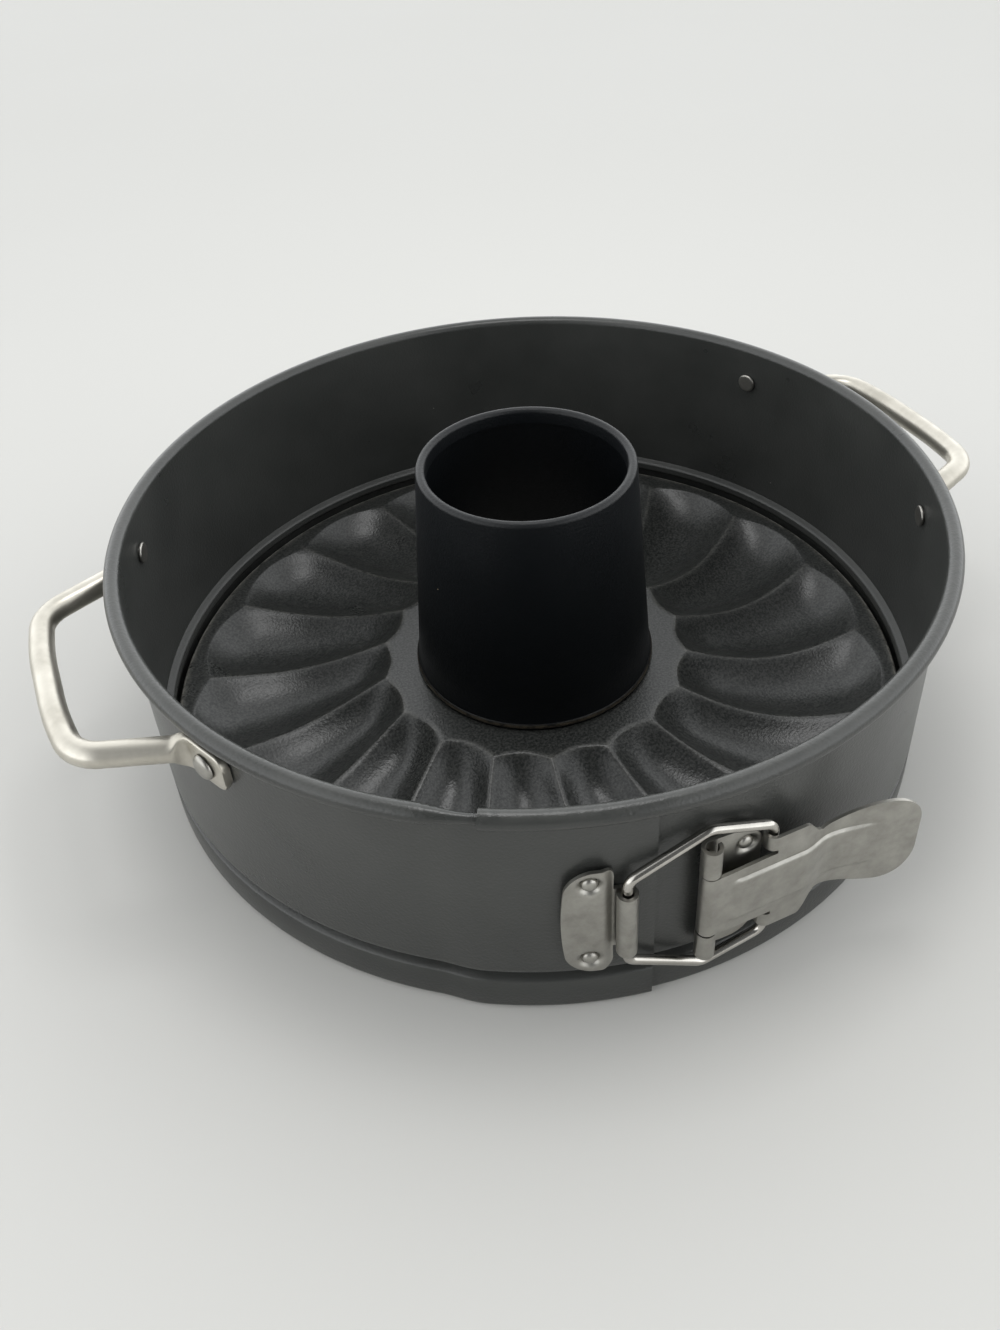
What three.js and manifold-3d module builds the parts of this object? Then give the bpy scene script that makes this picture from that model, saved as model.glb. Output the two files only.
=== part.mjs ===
// A springform pan with a fluted tube base: a sprung ring of coated steel closed by an
// over-centre lever latch, a loose pressed base with swirled flutes, and a central tube.
// Millimetres, +Z up. The origin is on the pan's axis, on the surface that it stands on.
// The handles lie on +X and -X, and the latch faces -Y.
import * as THREE from "three";
import { mergeVertices } from "three/addons/utils/BufferGeometryUtils.js";
import Module from "manifold-3d";

// Ring: one strip of sheet
const SHEET = 0.6;
const RING_INSIDE_RADIUS = 114.5;
const RING_HEIGHT = 71.6;
const BEAD_RADIUS = 2.3;
const GROOVE_HEIGHT = 12.7;
const GROOVE_HALF_WIDTH = 2.3;
const GROOVE_DEPTH = 2.0;
const HEM_DEPTH = 5.6;
const HEM_BEND = 1.5;
const GROOVE_LINE = [[-1, 0], [-0.4, 1], [0.4, 1], [1, 0]];

// Ring ends: the outer end laps over an inner tongue, whose bead wraps the outer end's bead
const TONGUE_END = -120.3;
const OUTER_END = -101.6;
const NOTCH_END = -104.0;
const LAP_GAP = 0.55;
const LAP_RAMP = 7.0;
const TONGUE_STRIP = 13.5;
const HEM_TRIM = 1.2;
const SLEEVE_SWELL = 0.1;
const SLEEVE_FADE_START = -90.0;
const SLEEVE_FADE_END = -76.0;

// Base and flutes
const FLUTES = 18;
const FLUTE_SWIRL = 8.5;
const FLUTE_PHASE = -9.6;
const FLUTE_INNER_RADIUS = 47.8;
const FLUTE_OUTER_LAND = 8.5;
const FLUTE_INNER_SCALLOP = 2.4;
const FLUTE_OUTER_SCALLOP = 4.0;
const FLUTE_SCOOP = 0.2;
const RIDGE_SAG = 5.6;
const HOLLOW_DEPTH = 4.2;
const BASE_INNER_LEVEL = 12.7;
const BASE_OUTER_LEVEL = 9.6;
const BASE_CORNER = 1.5;
const BASE_GROOVE_CLEARANCE = 0.6;

// Centre tube
const TUBE_TOP = 82.6;
const TUBE_TOP_RADIUS = 31.5;
const TUBE_FOOT_RADIUS = 36.3;
const TUBE_HEM = 1.4;
const TUBE_HEM_LEG = 3.4;
const TUBE_BEAD = 0.8;
const TUBE_FLANGE = 3.2;

// Handles
const HANDLE_WIRE = 6.6;
const HANDLE_LEVEL = 58.5;
const HANDLE_STANDOFF = 22.3;
const HANDLE_TURN = 1.2;
const HANDLE_BOW = 2.2;
const HANDLE_HALF_WIDTH = 29.2;
const HANDLE_GRIP_TURN = 13.0;
const HANDLE_GRIP_ROUND = 110.0;
const HANDLE_LEG_SPLAY = 22.0;
const HANDLE_CORNER = 11.0;
const HANDLE_FOOT_BEND = 7.0;
const TAB_THICKNESS = 2.2;
const TAB_HEIGHT = 10.4;
const TAB_RIVET_RUN = 4.6;
const TAB_TIP_RUN = 6.8;
const TAB_TAPER = 3.0;

// Latch plates: raised off the wall and dimpled down to it at the rivets
const LATCH_LEVEL = 35.0;
const PLATE_SHEET = 0.9;
const PLATE_RISE = 1.05;
const PLATE_CORNER = 6.5;
const CORNER_SHARES = [0.06, 0.3, 0.64];
const PLATE_BEND = 2.6;
const PLATE_ROLL = 285;
const HOOK_ANGLE = -105.2;
const HOOK_PLATE_WIDTH = 14.4;
const HOOK_PLATE_HALF_HEIGHT = 17.6;
const HOOK_PLATE_SHOULDER = 3.0;
const HOOK_PLATE_ARCH = 1.6;
const HOOK_BARREL = 20.4;
const HINGE_ANGLE = -96.0;
const HINGE_PLATE_WIDTH = 13.5;
const HINGE_PLATE_HALF_HEIGHT = 18.8;
const HINGE_PIN_RADIUS = 1.3;
const HINGE_PIN_RECESS = 2.5;

// Lever: a rolled barrel, a body with ears, a neck pressed in towards the wall and a wide flared tip
const LEVER_SHEET = 0.8;
const LEVER_BARREL = 20.0;
const LEVER_ROLL_START = -40;
const LEVER_LEAN = -0.5;
const LEVER_LENGTH = 54.6;
const LEVER_HALF_HEIGHT = 10.4;
const LEVER_NECK = 28.5;
const LEVER_NECK_END = 31.5;
const LEVER_NECK_DIP = 1.6;
const LEVER_TIP_HALF_HEIGHT = 13.6;
const LEVER_TIP_START = 45.6;
const LEVER_TIP_CORNER = 9.0;
const LEVER_TIP_FLARE = 4.2;
const PANEL_HALF_HEIGHT = 6.2;
const PANEL_RISE = 0.5;
const PANEL_EDGE = 0.9;
const EAR_REACH = 16.0;
const EAR_STRAIGHT = 23.5;
const EAR_HALF_HEIGHT = 15.7;
const EAR_SLIT = 0.2;
const EAR_ROLL = 180;

// Bail: one bent wire
const BAIL_WIRE = 2.4;
const BAIL_BEND = 3.2;
const BAIL_FLARE_UPPER = 22.8;
const BAIL_FLARE_LOWER = 24.8;
const BAIL_FLARE_SHARE = 0.55;
const BAIL_END_UPPER = 17.9;
const BAIL_END_LOWER = 19.4;
const BAIL_NECK = 14.0;

// Rivets
const HANDLE_RIVET = { shank: 2.0, head: 3.4, crown: 1.5, tail: 3.1, tailHeight: 0.9 };
const LATCH_RIVET = { shank: 1.2, head: 1.9, crown: 1.1, tail: 2.5, tailHeight: 0.6 };
const LATCH_RIVET_SPREAD = 13.2;
const HOOK_RIVET_OFFSET = 8.0;
const HINGE_RIVET_OFFSET = 9.6;
const DIMPLE_SEAT = 2.1;
const DIMPLE_SLOPE = 1.2;
const DIMPLE_DEPTH = 1.2;

// Clearances
const SEAT_GAP = 0.3;
const HOLE_PLAY = 0.3;
const WIRE_PLAY = 0.35;
const PIN_PLAY = 0.25;
const KNUCKLE_GAP = 0.4;

// Fineness of the facets
const RING_STEPS = 56;
const TONGUE_STEPS = 3;
const BEAD_STEPS = 7;
const HEM_BEND_STEPS = 2;
const FLUTE_STEPS = 4;
const TUBE_STEPS = 32;
const WIRE_SIDES = 8;
const PIN_SIDES = 12;
const RIVET_STEPS = 8;
const BEND_STEPS = 4;
const CURL_STEPS = 8;
const EAR_ROLL_STEPS = 6;

// Sizes that follow
const RING_MIDDLE = RING_INSIDE_RADIUS + SHEET / 2;
const RING_OUTSIDE = RING_INSIDE_RADIUS + SHEET;
const LAP_SHIFT = SHEET + LAP_GAP;
const LAP_OUTSIDE = RING_OUTSIDE + LAP_SHIFT;
const SLEEVE_RADIUS = BEAD_RADIUS + SLEEVE_SWELL;
const LAPPED_BEAD_RADIUS = SLEEVE_RADIUS - LAP_SHIFT;
const BASE_RIM_RADIUS = RING_INSIDE_RADIUS - GROOVE_DEPTH - BASE_GROOVE_CLEARANCE;
const FLUTE_OUTER_RADIUS = BASE_RIM_RADIUS - FLUTE_OUTER_LAND;
const BASE_FOOT = SHEET + SEAT_GAP;
const BASE_HOLE_RADIUS = TUBE_FOOT_RADIUS + SEAT_GAP;
const HANDLE_REACH = RING_OUTSIDE + HANDLE_STANDOFF;
const TAB_RADIUS = RING_OUTSIDE + SEAT_GAP + TAB_THICKNESS / 2;
const HOOK_CURL = BAIL_WIRE / 2 + WIRE_PLAY + PLATE_SHEET / 2;
const HOOK_PLATE_RADIUS = LAP_OUTSIDE + SEAT_GAP + PLATE_SHEET / 2;
const HOOK_AXIS_RADIUS = HOOK_PLATE_RADIUS + HOOK_CURL;
const HINGE_CURL = HINGE_PIN_RADIUS + PIN_PLAY + PLATE_SHEET / 2;
const HINGE_PLATE_RADIUS = RING_OUTSIDE + SEAT_GAP + PLATE_SHEET / 2;
const HINGE_AXIS_RADIUS = HINGE_PLATE_RADIUS + PLATE_RISE + HINGE_CURL;
const LEVER_CURL = HINGE_PIN_RADIUS + PIN_PLAY + LEVER_SHEET / 2;
const EAR_CURL = BAIL_WIRE / 2 + WIRE_PLAY + LEVER_SHEET / 2;
const EAR_INNER = LEVER_HALF_HEIGHT + EAR_SLIT * (EAR_HALF_HEIGHT - LEVER_HALF_HEIGHT);

const radians = THREE.MathUtils.degToRad;
const degrees = THREE.MathUtils.radToDeg;
const lerp = THREE.MathUtils.lerp;
const UP = new THREE.Vector3(0, 0, 1);
const clamp01 = (t) => Math.min(1, Math.max(0, t));
const smooth = (t) => clamp01(t) ** 2 * (3 - 2 * clamp01(t));
const scooped = (t) => 1 - (1 - clamp01(t)) ** 2;
const spread = (from, to, steps) => Array.from({ length: steps + 1 }, (_, i) => lerp(from, to, i / steps));

const wasm = await Module();
wasm.setup();

/** The point at a radius, an angle in degrees about the pan's axis, and a height. */
function polar(radius, angle, height) {
  return new THREE.Vector3(radius * Math.cos(radians(angle)), radius * Math.sin(radians(angle)), height);
}

/** A buffer geometry from a list of points and a list of triangles. */
function meshOf(points, triangles) {
  const geometry = new THREE.BufferGeometry().setFromPoints(points);
  geometry.setIndex(triangles);
  return geometry;
}

/**
 * A closed sheet of even thickness over a grid of middle points. grid[i][j] is a point, or null
 * where the blank is cut away. With wrap the last row joins the first.
 */
function sheet(grid, thickness, wrap = false) {
  const rows = grid.length;
  const columns = grid[0].length;
  const point = (i, j) => grid[(i + rows) % rows][j];
  const inside = (i, j) => (wrap || (i >= 0 && i < rows - 1)) && j >= 0 && j < columns - 1;
  const filled = (i, j) =>
    inside(i, j) && [point(i, j), point(i + 1, j), point(i + 1, j + 1), point(i, j + 1)].every(Boolean);

  const normals = grid.map((row) => row.map(() => new THREE.Vector3()));
  const cells = [];
  for (let i = 0; i < (wrap ? rows : rows - 1); i++)
    for (let j = 0; j < columns - 1; j++) {
      if (!filled(i, j)) continue;
      cells.push([i, j]);
      const across = point(i + 1, j + 1).clone().sub(point(i, j));
      const along = point(i, j + 1).clone().sub(point(i + 1, j));
      const normal = across.cross(along).normalize();
      for (const [a, b] of [[i, j], [i + 1, j], [i + 1, j + 1], [i, j + 1]]) {
        normals[a % rows][b].add(normal);
      }
    }

  const points = [];
  for (const side of [1, -1])
    for (let i = 0; i < rows; i++)
      for (let j = 0; j < columns; j++) {
        const offset = normals[i][j].clone().normalize().multiplyScalar((side * thickness) / 2);
        points.push(grid[i][j] ? offset.add(grid[i][j]) : new THREE.Vector3());
      }
  const front = ([i, j]) => (i % rows) * columns + j;
  const back = (corner) => rows * columns + front(corner);

  const triangles = [];
  const quad = (a, b, c, d) => triangles.push(a, b, c, a, c, d);
  for (const [i, j] of cells) {
    const corners = [[i, j], [i + 1, j], [i + 1, j + 1], [i, j + 1]];
    const [a, b, c, d] = corners;
    quad(front(a), front(b), front(c), front(d));
    quad(back(d), back(c), back(b), back(a));
    const beside = [filled(i, j - 1), filled(i + 1, j), filled(i, j + 1), filled(i - 1, j)];
    corners.forEach((corner, side) => {
      const next = corners[(side + 1) % 4];
      if (!beside[side]) quad(front(next), front(corner), back(corner), back(next));
    });
  }
  return compact(meshOf(points, triangles));
}

/** The same geometry without points that no triangle uses. */
function compact(geometry) {
  const solidPoints = geometry.toNonIndexed();
  return mergeVertices(solidPoints, 1e-5);
}

/** A closed bar along a path in one plane. section(i) lists [side, up] offsets of ring i. */
function sweep(path, up, section) {
  const last = path.length - 1;
  const points = [];
  path.forEach((centre, i) => {
    const forward = path[Math.min(i + 1, last)].clone().sub(path[Math.max(i - 1, 0)]).normalize();
    const side = up.clone().cross(forward).normalize();
    for (const [a, b] of section(i)) {
      points.push(centre.clone().addScaledVector(side, a).addScaledVector(up, b));
    }
  });
  const sides = points.length / path.length;
  const triangles = [];
  for (let i = 0; i < last; i++)
    for (let k = 0; k < sides; k++) {
      const a = i * sides + k;
      const b = i * sides + ((k + 1) % sides);
      triangles.push(a, b + sides, a + sides, a, b, b + sides);
    }
  for (let k = 1; k < sides - 1; k++) {
    const end = last * sides;
    triangles.push(0, k + 1, k, end, end + k, end + k + 1);
  }
  return meshOf(points, triangles);
}

/** A rounded bar section: an ellipse at power 2, nearer a rectangle at a higher power. */
function barSection(halfSide, halfUp, power, sides) {
  return Array.from({ length: sides }, (_, k) => {
    const angle = (2 * Math.PI * (k + 0.5)) / sides;
    const bend = (value) => Math.sign(value) * Math.abs(value) ** (2 / power);
    return [halfSide * bend(Math.cos(angle)), halfUp * bend(Math.sin(angle))];
  });
}

/** A polyline of 2-D corners with each inner corner rounded by its radius. */
function roundCorners(corners, radii, steps) {
  const path = [corners[0].clone()];
  for (let i = 1; i < corners.length - 1; i++) {
    const inward = corners[i - 1].clone().sub(corners[i]).normalize();
    const onward = corners[i + 1].clone().sub(corners[i]).normalize();
    const half = Math.acos(THREE.MathUtils.clamp(inward.dot(onward), -1, 1)) / 2;
    const setback = radii[i - 1] / Math.tan(half);
    const middle = inward.clone().add(onward).normalize();
    const centre = corners[i].clone().addScaledVector(middle, radii[i - 1] / Math.sin(half));
    const start = corners[i].clone().addScaledVector(inward, setback).sub(centre);
    const turn = (Math.PI - 2 * half) * Math.sign(onward.cross(inward));
    for (const t of spread(0, turn, steps)) {
      path.push(start.clone().rotateAround(new THREE.Vector2(), t).add(centre));
    }
  }
  path.push(corners.at(-1).clone());
  return path;
}

/** Points of an arc in degrees, from a centre. */
function arc(centre, radius, from, to, steps) {
  const at = (angle) => new THREE.Vector2(Math.cos(radians(angle)), Math.sin(radians(angle)));
  return spread(from, to, steps).map((angle) => at(angle).multiplyScalar(radius).add(centre));
}

/** A geometry as a solid that can be cut and joined. */
function solidOf(geometry) {
  const bare = geometry.index ? geometry.toNonIndexed() : geometry.clone();
  for (const name of ["normal", "uv"]) bare.deleteAttribute(name);
  const merged = mergeVertices(bare, 1e-4);
  const vertProperties = merged.attributes.position.array;
  const triVerts = new Uint32Array(merged.index.array);
  return new wasm.Manifold(new wasm.Mesh({ numProp: 3, vertProperties, triVerts }));
}

/** A cut or joined solid as a geometry again. */
function geometryOf(solid) {
  const { vertProperties, triVerts } = solid.getMesh();
  const geometry = new THREE.BufferGeometry();
  geometry.setAttribute("position", new THREE.BufferAttribute(new Float32Array(vertProperties), 3));
  return geometry.setIndex(new THREE.BufferAttribute(new Uint32Array(triVerts), 1));
}

/** The geometry with each tool cut out of it. */
function cut(geometry, tools) {
  return geometryOf(tools.reduce((left, tool) => left.subtract(solidOf(tool)), solidOf(geometry)));
}

/** A radial drill at an angle and a height, through the ring's wall and what lies on it. */
function radialDrill(radius, angle, height) {
  const drillLength = 24;
  const drill = new THREE.CylinderGeometry(radius, radius, drillLength, RIVET_STEPS);
  return drill.rotateZ(radians(angle - 90)).translate(...polar(RING_OUTSIDE, angle, height));
}

const coated = { color: 0x3b3d3c, roughness: 0.5, metalness: 0.3 };
const tubeCoat = { color: 0x1b1c1d, roughness: 0.42, metalness: 0.3 };
const platedSteel = { color: 0x9a9a94, roughness: 0.38, metalness: 0.9 };
const brightWire = { color: 0xb9b8b2, roughness: 0.18, metalness: 1.0 };
const satinWire = { color: 0xb5b2a8, roughness: 0.32, metalness: 0.9 };

const pan = new THREE.Group();

/** Adds a named piece to the pan. */
function add(name, geometry, finish) {
  const mesh = new THREE.Mesh(geometry, new THREE.MeshStandardMaterial(finish));
  mesh.name = name;
  pan.add(mesh);
  return mesh;
}

// The latch's three upright axes: the bail in the hook, the hinge pin, and the bail in the lever's ears
const hookAxis = polar(HOOK_AXIS_RADIUS, HOOK_ANGLE, LATCH_LEVEL);
const hingeAxis = polar(HINGE_AXIS_RADIUS, HINGE_ANGLE, LATCH_LEVEL);
const leverTurn = radians(LEVER_LEAN);
const earPlace = new THREE.Vector3(EAR_REACH, EAR_CURL - LEVER_CURL, 0);
const earAxis = earPlace.applyAxisAngle(UP, leverTurn).add(hingeAxis);

// Where the rivets go: angle, height, the radius under the head and under the tail, and the type
const alongWall = (length) => degrees(length / RING_OUTSIDE);
const tabStart = degrees(handleBend().at(-1).angle());
const tabRivetAngle = tabStart + alongWall(TAB_RIVET_RUN);
const tailSeat = RING_INSIDE_RADIUS - SEAT_GAP;
const handleGrip = { outside: RING_OUTSIDE + 2 * SEAT_GAP + TAB_THICKNESS, inside: tailSeat };
const plateGrip = PLATE_SHEET / 2 + PLATE_RISE - DIMPLE_DEPTH + SEAT_GAP;
const hookGrip = { outside: HOOK_PLATE_RADIUS + plateGrip, inside: tailSeat + LAP_SHIFT };
const hingeGrip = { outside: HINGE_PLATE_RADIUS + plateGrip, inside: tailSeat };
const hookRivetAngle = HOOK_ANGLE - alongWall(HOOK_RIVET_OFFSET);
const hingeRivetAngle = HINGE_ANGLE + alongWall(HINGE_RIVET_OFFSET);
const handleRivet = (angle) => ({ angle, height: HANDLE_LEVEL, ...handleGrip, type: HANDLE_RIVET });
const rivets = {
  right_handle_rivet_front: handleRivet(-HANDLE_TURN - tabRivetAngle),
  right_handle_rivet_rear: handleRivet(-HANDLE_TURN + tabRivetAngle),
  left_handle_rivet_front: handleRivet(180 + HANDLE_TURN + tabRivetAngle),
  left_handle_rivet_rear: handleRivet(180 + HANDLE_TURN - tabRivetAngle),
};
for (const [level, sign] of [["upper", 1], ["lower", -1]]) {
  const height = LATCH_LEVEL + sign * LATCH_RIVET_SPREAD;
  rivets[`hook_rivet_${level}`] = { angle: hookRivetAngle, height, ...hookGrip, type: LATCH_RIVET };
  rivets[`hinge_rivet_${level}`] = { angle: hingeRivetAngle, height, ...hingeGrip, type: LATCH_RIVET };
}
const drills = Object.values(rivets).map((r) => radialDrill(r.type.shank + HOLE_PLAY, r.angle, r.height));

/** The ring strip's middle line in a radial plane, from the hem's edge up to the bead's edge. */
function ringSection({ shift, bead, beadSweep }) {
  const wall = RING_MIDDLE + shift;
  const hemPlane = SHEET / 2;
  const hemRoot = wall - HEM_BEND;
  const beadMiddle = bead - SHEET / 2;
  const beadCentre = new THREE.Vector2(wall + beadMiddle, RING_HEIGHT - BEAD_RADIUS);
  const groove = GROOVE_LINE.map(([up, inward]) => {
    return new THREE.Vector2(wall - inward * GROOVE_DEPTH, GROOVE_HEIGHT + up * GROOVE_HALF_WIDTH);
  });
  return [
    new THREE.Vector2(wall - HEM_DEPTH, hemPlane),
    ...arc(new THREE.Vector2(hemRoot, hemPlane + HEM_BEND), HEM_BEND, -90, 0, HEM_BEND_STEPS),
    ...groove,
    new THREE.Vector2(wall, RING_HEIGHT - TONGUE_STRIP),
    ...arc(beadCentre, beadMiddle, 180, 180 - beadSweep, BEAD_STEPS),
  ];
}

/** The strip's state at an angle: a plain ring, a sleeve bead on the tongue, a lapped outer end. */
function ringStateAt(angle) {
  const beadSweep = { plain: 300, sleeve: 255 };
  const lapStart = 360 + TONGUE_END;
  const lapped = smooth((angle - (lapStart - LAP_RAMP)) / (LAP_RAMP - 1));
  const sleeve = 1 - smooth((angle - SLEEVE_FADE_START) / (SLEEVE_FADE_END - SLEEVE_FADE_START));
  const bead = lerp(lerp(BEAD_RADIUS, SLEEVE_RADIUS, sleeve), LAPPED_BEAD_RADIUS, lapped);
  return {
    shift: LAP_SHIFT * lapped,
    bead,
    beadSweep: lerp(beadSweep.plain, beadSweep.sleeve, sleeve),
  };
}

/**
 * The ring: the strip swept round the axis, with rivet holes. The tongue is cut away below its bead, so
 * that it slides past the hook plate's rivets, and the outer end's hem is cut away where the tongue's
 * hem begins, so that only half its bend is left there.
 */
function ringBand() {
  const hemEnd = 360 + NOTCH_END - HEM_TRIM;
  const hemColumns = 1 + HEM_BEND_STEPS;
  const wallColumns = hemColumns + 1 + GROOVE_LINE.length;
  const angles = [
    ...spread(TONGUE_END, NOTCH_END, TONGUE_STEPS),
    ...spread(NOTCH_END, hemEnd, RING_STEPS).slice(1),
    360 + OUTER_END,
  ];
  const cutAway = (angle, column) =>
    (angle < NOTCH_END && column < wallColumns) || (angle > hemEnd && column < hemColumns - 1);
  const grid = angles.map((angle) =>
    ringSection(ringStateAt(angle)).map((p, column) =>
      cutAway(angle, column) ? null : polar(p.x, angle, p.y),
    ),
  );
  return cut(sheet(grid, SHEET), drills);
}

/** Height of the flutes at a share of their length and of their width: sagging ridges, scooped hollows. */
function fluteLevel(length, width) {
  const run = lerp(BASE_INNER_LEVEL, BASE_OUTER_LEVEL, length);
  const bowl = Math.sin(Math.PI * length);
  const hollow = 4 * width * (1 - width);
  const scoop = scooped(length / FLUTE_SCOOP) * scooped((1 - length) / FLUTE_SCOOP);
  return run - RIDGE_SAG * bowl - HOLLOW_DEPTH * hollow * scoop;
}

/** The base: flat round the tube, swirled flutes, a flat outer land and a turned-down rim. */
function flutedBase() {
  const shares = [0, 0.06, 0.2, 0.4, 0.6, 0.8, 0.94, 1];
  const half = SHEET / 2;
  const rim = BASE_RIM_RADIUS - half;
  const corner = new THREE.Vector2(rim - BASE_CORNER, BASE_OUTER_LEVEL - half - BASE_CORNER);
  const edge = [...arc(corner, BASE_CORNER, 90, 0, 2), new THREE.Vector2(rim, BASE_FOOT)];
  const grid = [];
  for (let step = 0; step < FLUTES * FLUTE_STEPS; step++) {
    const width = (step % FLUTE_STEPS) / FLUTE_STEPS;
    const angle = FLUTE_PHASE + (step * 360) / (FLUTES * FLUTE_STEPS);
    const bulge = Math.sin(Math.PI * width);
    const inner = FLUTE_INNER_RADIUS - FLUTE_INNER_SCALLOP * bulge;
    const outer = FLUTE_OUTER_RADIUS + FLUTE_OUTER_SCALLOP * bulge;
    const turned = (radius) => {
      const share = (radius - FLUTE_INNER_RADIUS) / (FLUTE_OUTER_RADIUS - FLUTE_INNER_RADIUS);
      return angle + FLUTE_SWIRL * clamp01(share);
    };
    const row = [polar(BASE_HOLE_RADIUS, angle, BASE_INNER_LEVEL - half)];
    for (const share of shares) {
      const radius = lerp(inner, outer, share);
      row.push(polar(radius, turned(radius), fluteLevel(share, width) - half));
    }
    for (const p of edge) row.push(polar(p.x, turned(p.x), p.y));
    grid.push(row);
  }
  return sheet(grid, SHEET, true);
}

/** The tube: hemmed inward at the top, beaded above the base and flanged below it. */
function centreTube() {
  const half = SHEET / 2;
  const hem = TUBE_HEM - half;
  const seatTop = BASE_INNER_LEVEL + SEAT_GAP;
  const seatUnder = BASE_INNER_LEVEL - SHEET - SEAT_GAP;
  const foot = TUBE_FOOT_RADIUS - half;
  const top = TUBE_TOP_RADIUS - half;
  const hemCentre = new THREE.Vector2(top - hem, TUBE_TOP - TUBE_HEM);
  const beadCentre = new THREE.Vector2(foot, seatTop + half + TUBE_BEAD);
  const line = [
    new THREE.Vector2(foot + TUBE_FLANGE, seatUnder - half),
    new THREE.Vector2(foot, seatUnder - half),
    ...arc(beadCentre, TUBE_BEAD, -60, 60, 2),
    new THREE.Vector2(foot, beadCentre.y + 2 * TUBE_BEAD),
    ...arc(hemCentre, hem, 0, 180, BEND_STEPS),
    new THREE.Vector2(hemCentre.x - hem, hemCentre.y - TUBE_HEM_LEG),
  ];
  const angles = spread(0, 360, TUBE_STEPS).slice(0, -1);
  const grid = angles.map((angle) => line.map((p) => polar(p.x, angle, p.y)));
  return sheet(grid, SHEET, true);
}

/** Half a handle in plan, from the middle of its grip to the place where its leg lies down on the wall. */
function handleBend() {
  const splay = radians(HANDLE_LEG_SPLAY);
  const grip = new THREE.Vector2(HANDLE_REACH, 0);
  const bow = new THREE.Vector2(HANDLE_REACH, HANDLE_GRIP_TURN);
  const corner = new THREE.Vector2(HANDLE_REACH - HANDLE_BOW, HANDLE_HALF_WIDTH);
  const leg = new THREE.Vector2(-Math.cos(splay), Math.sin(splay));
  // The leg runs in from the corner until it meets the tab's circle
  const along = corner.dot(leg);
  const legLength = -along - Math.sqrt(along ** 2 - corner.lengthSq() + TAB_RADIUS ** 2);
  const foot = corner.clone().addScaledVector(leg, legLength);
  const tangent = new THREE.Vector2(-foot.y, foot.x).normalize();
  const landing = foot.clone().addScaledVector(tangent, HANDLE_FOOT_BEND);
  const radii = [HANDLE_GRIP_ROUND, HANDLE_CORNER, HANDLE_FOOT_BEND];
  return roundCorners([grip, bow, corner, foot, landing], radii, BEND_STEPS).slice(0, -1);
}

/** A wire handle about +X: a bowed grip, two splayed legs and two flattened tabs. */
function handle() {
  const tipAngle = tabRivetAngle + alongWall(TAB_TIP_RUN);
  const tab = arc(new THREE.Vector2(), TAB_RADIUS, tabStart, tipAngle, BEND_STEPS + 1).slice(1);
  const half = [...handleBend(), ...tab].map((p) => new THREE.Vector3(p.x, p.y, HANDLE_LEVEL));
  const mirrored = half.slice(1).map((p) => new THREE.Vector3(p.x, -p.y, p.z));
  const path = [...mirrored.reverse(), ...half];
  const section = (i) => {
    const stand = Math.hypot(path[i].x, path[i].y) - TAB_RADIUS;
    const flat = 1 - smooth(stand / TAB_TAPER);
    const thickness = lerp(HANDLE_WIRE, TAB_THICKNESS, flat);
    const height = lerp(HANDLE_WIRE, TAB_HEIGHT, flat);
    return barSection(thickness / 2, height / 2, lerp(2, 6, flat), WIRE_SIDES);
  };
  return sweep(path, UP, section);
}

/** The half height of a plate at a distance from its rounded end. */
function roundedHeight(halfHeight, corner, distance) {
  const into = Math.max(0, corner - distance);
  return halfHeight - corner + Math.sqrt(Math.max(0, corner ** 2 - into ** 2));
}

/** How far a latch plate is dimpled inward at a place given from its rivets' line. */
function dimple(along, up) {
  const away = Math.hypot(along, Math.abs(up) - LATCH_RIVET_SPREAD) - DIMPLE_SEAT * Math.SQRT2;
  return DIMPLE_DEPTH * (1 - smooth(away / DIMPLE_SLOPE));
}

/** Heights of a latch plate's columns: its ends, its dimples, the edge of its barrel or gap, its middle. */
function plateColumns(halfHeight, fullHeight, middleEdge) {
  const dimpled = [LATCH_RIVET_SPREAD, LATCH_RIVET_SPREAD + DIMPLE_SEAT];
  const shares = dimpled.map((up) => (up - middleEdge) / (fullHeight - middleEdge));
  const upper = [0, ...shares, 1].map((share) => lerp(middleEdge, halfHeight, share));
  const lower = upper.map((up) => -up).reverse();
  return [...lower, 0, ...upper];
}

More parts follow.
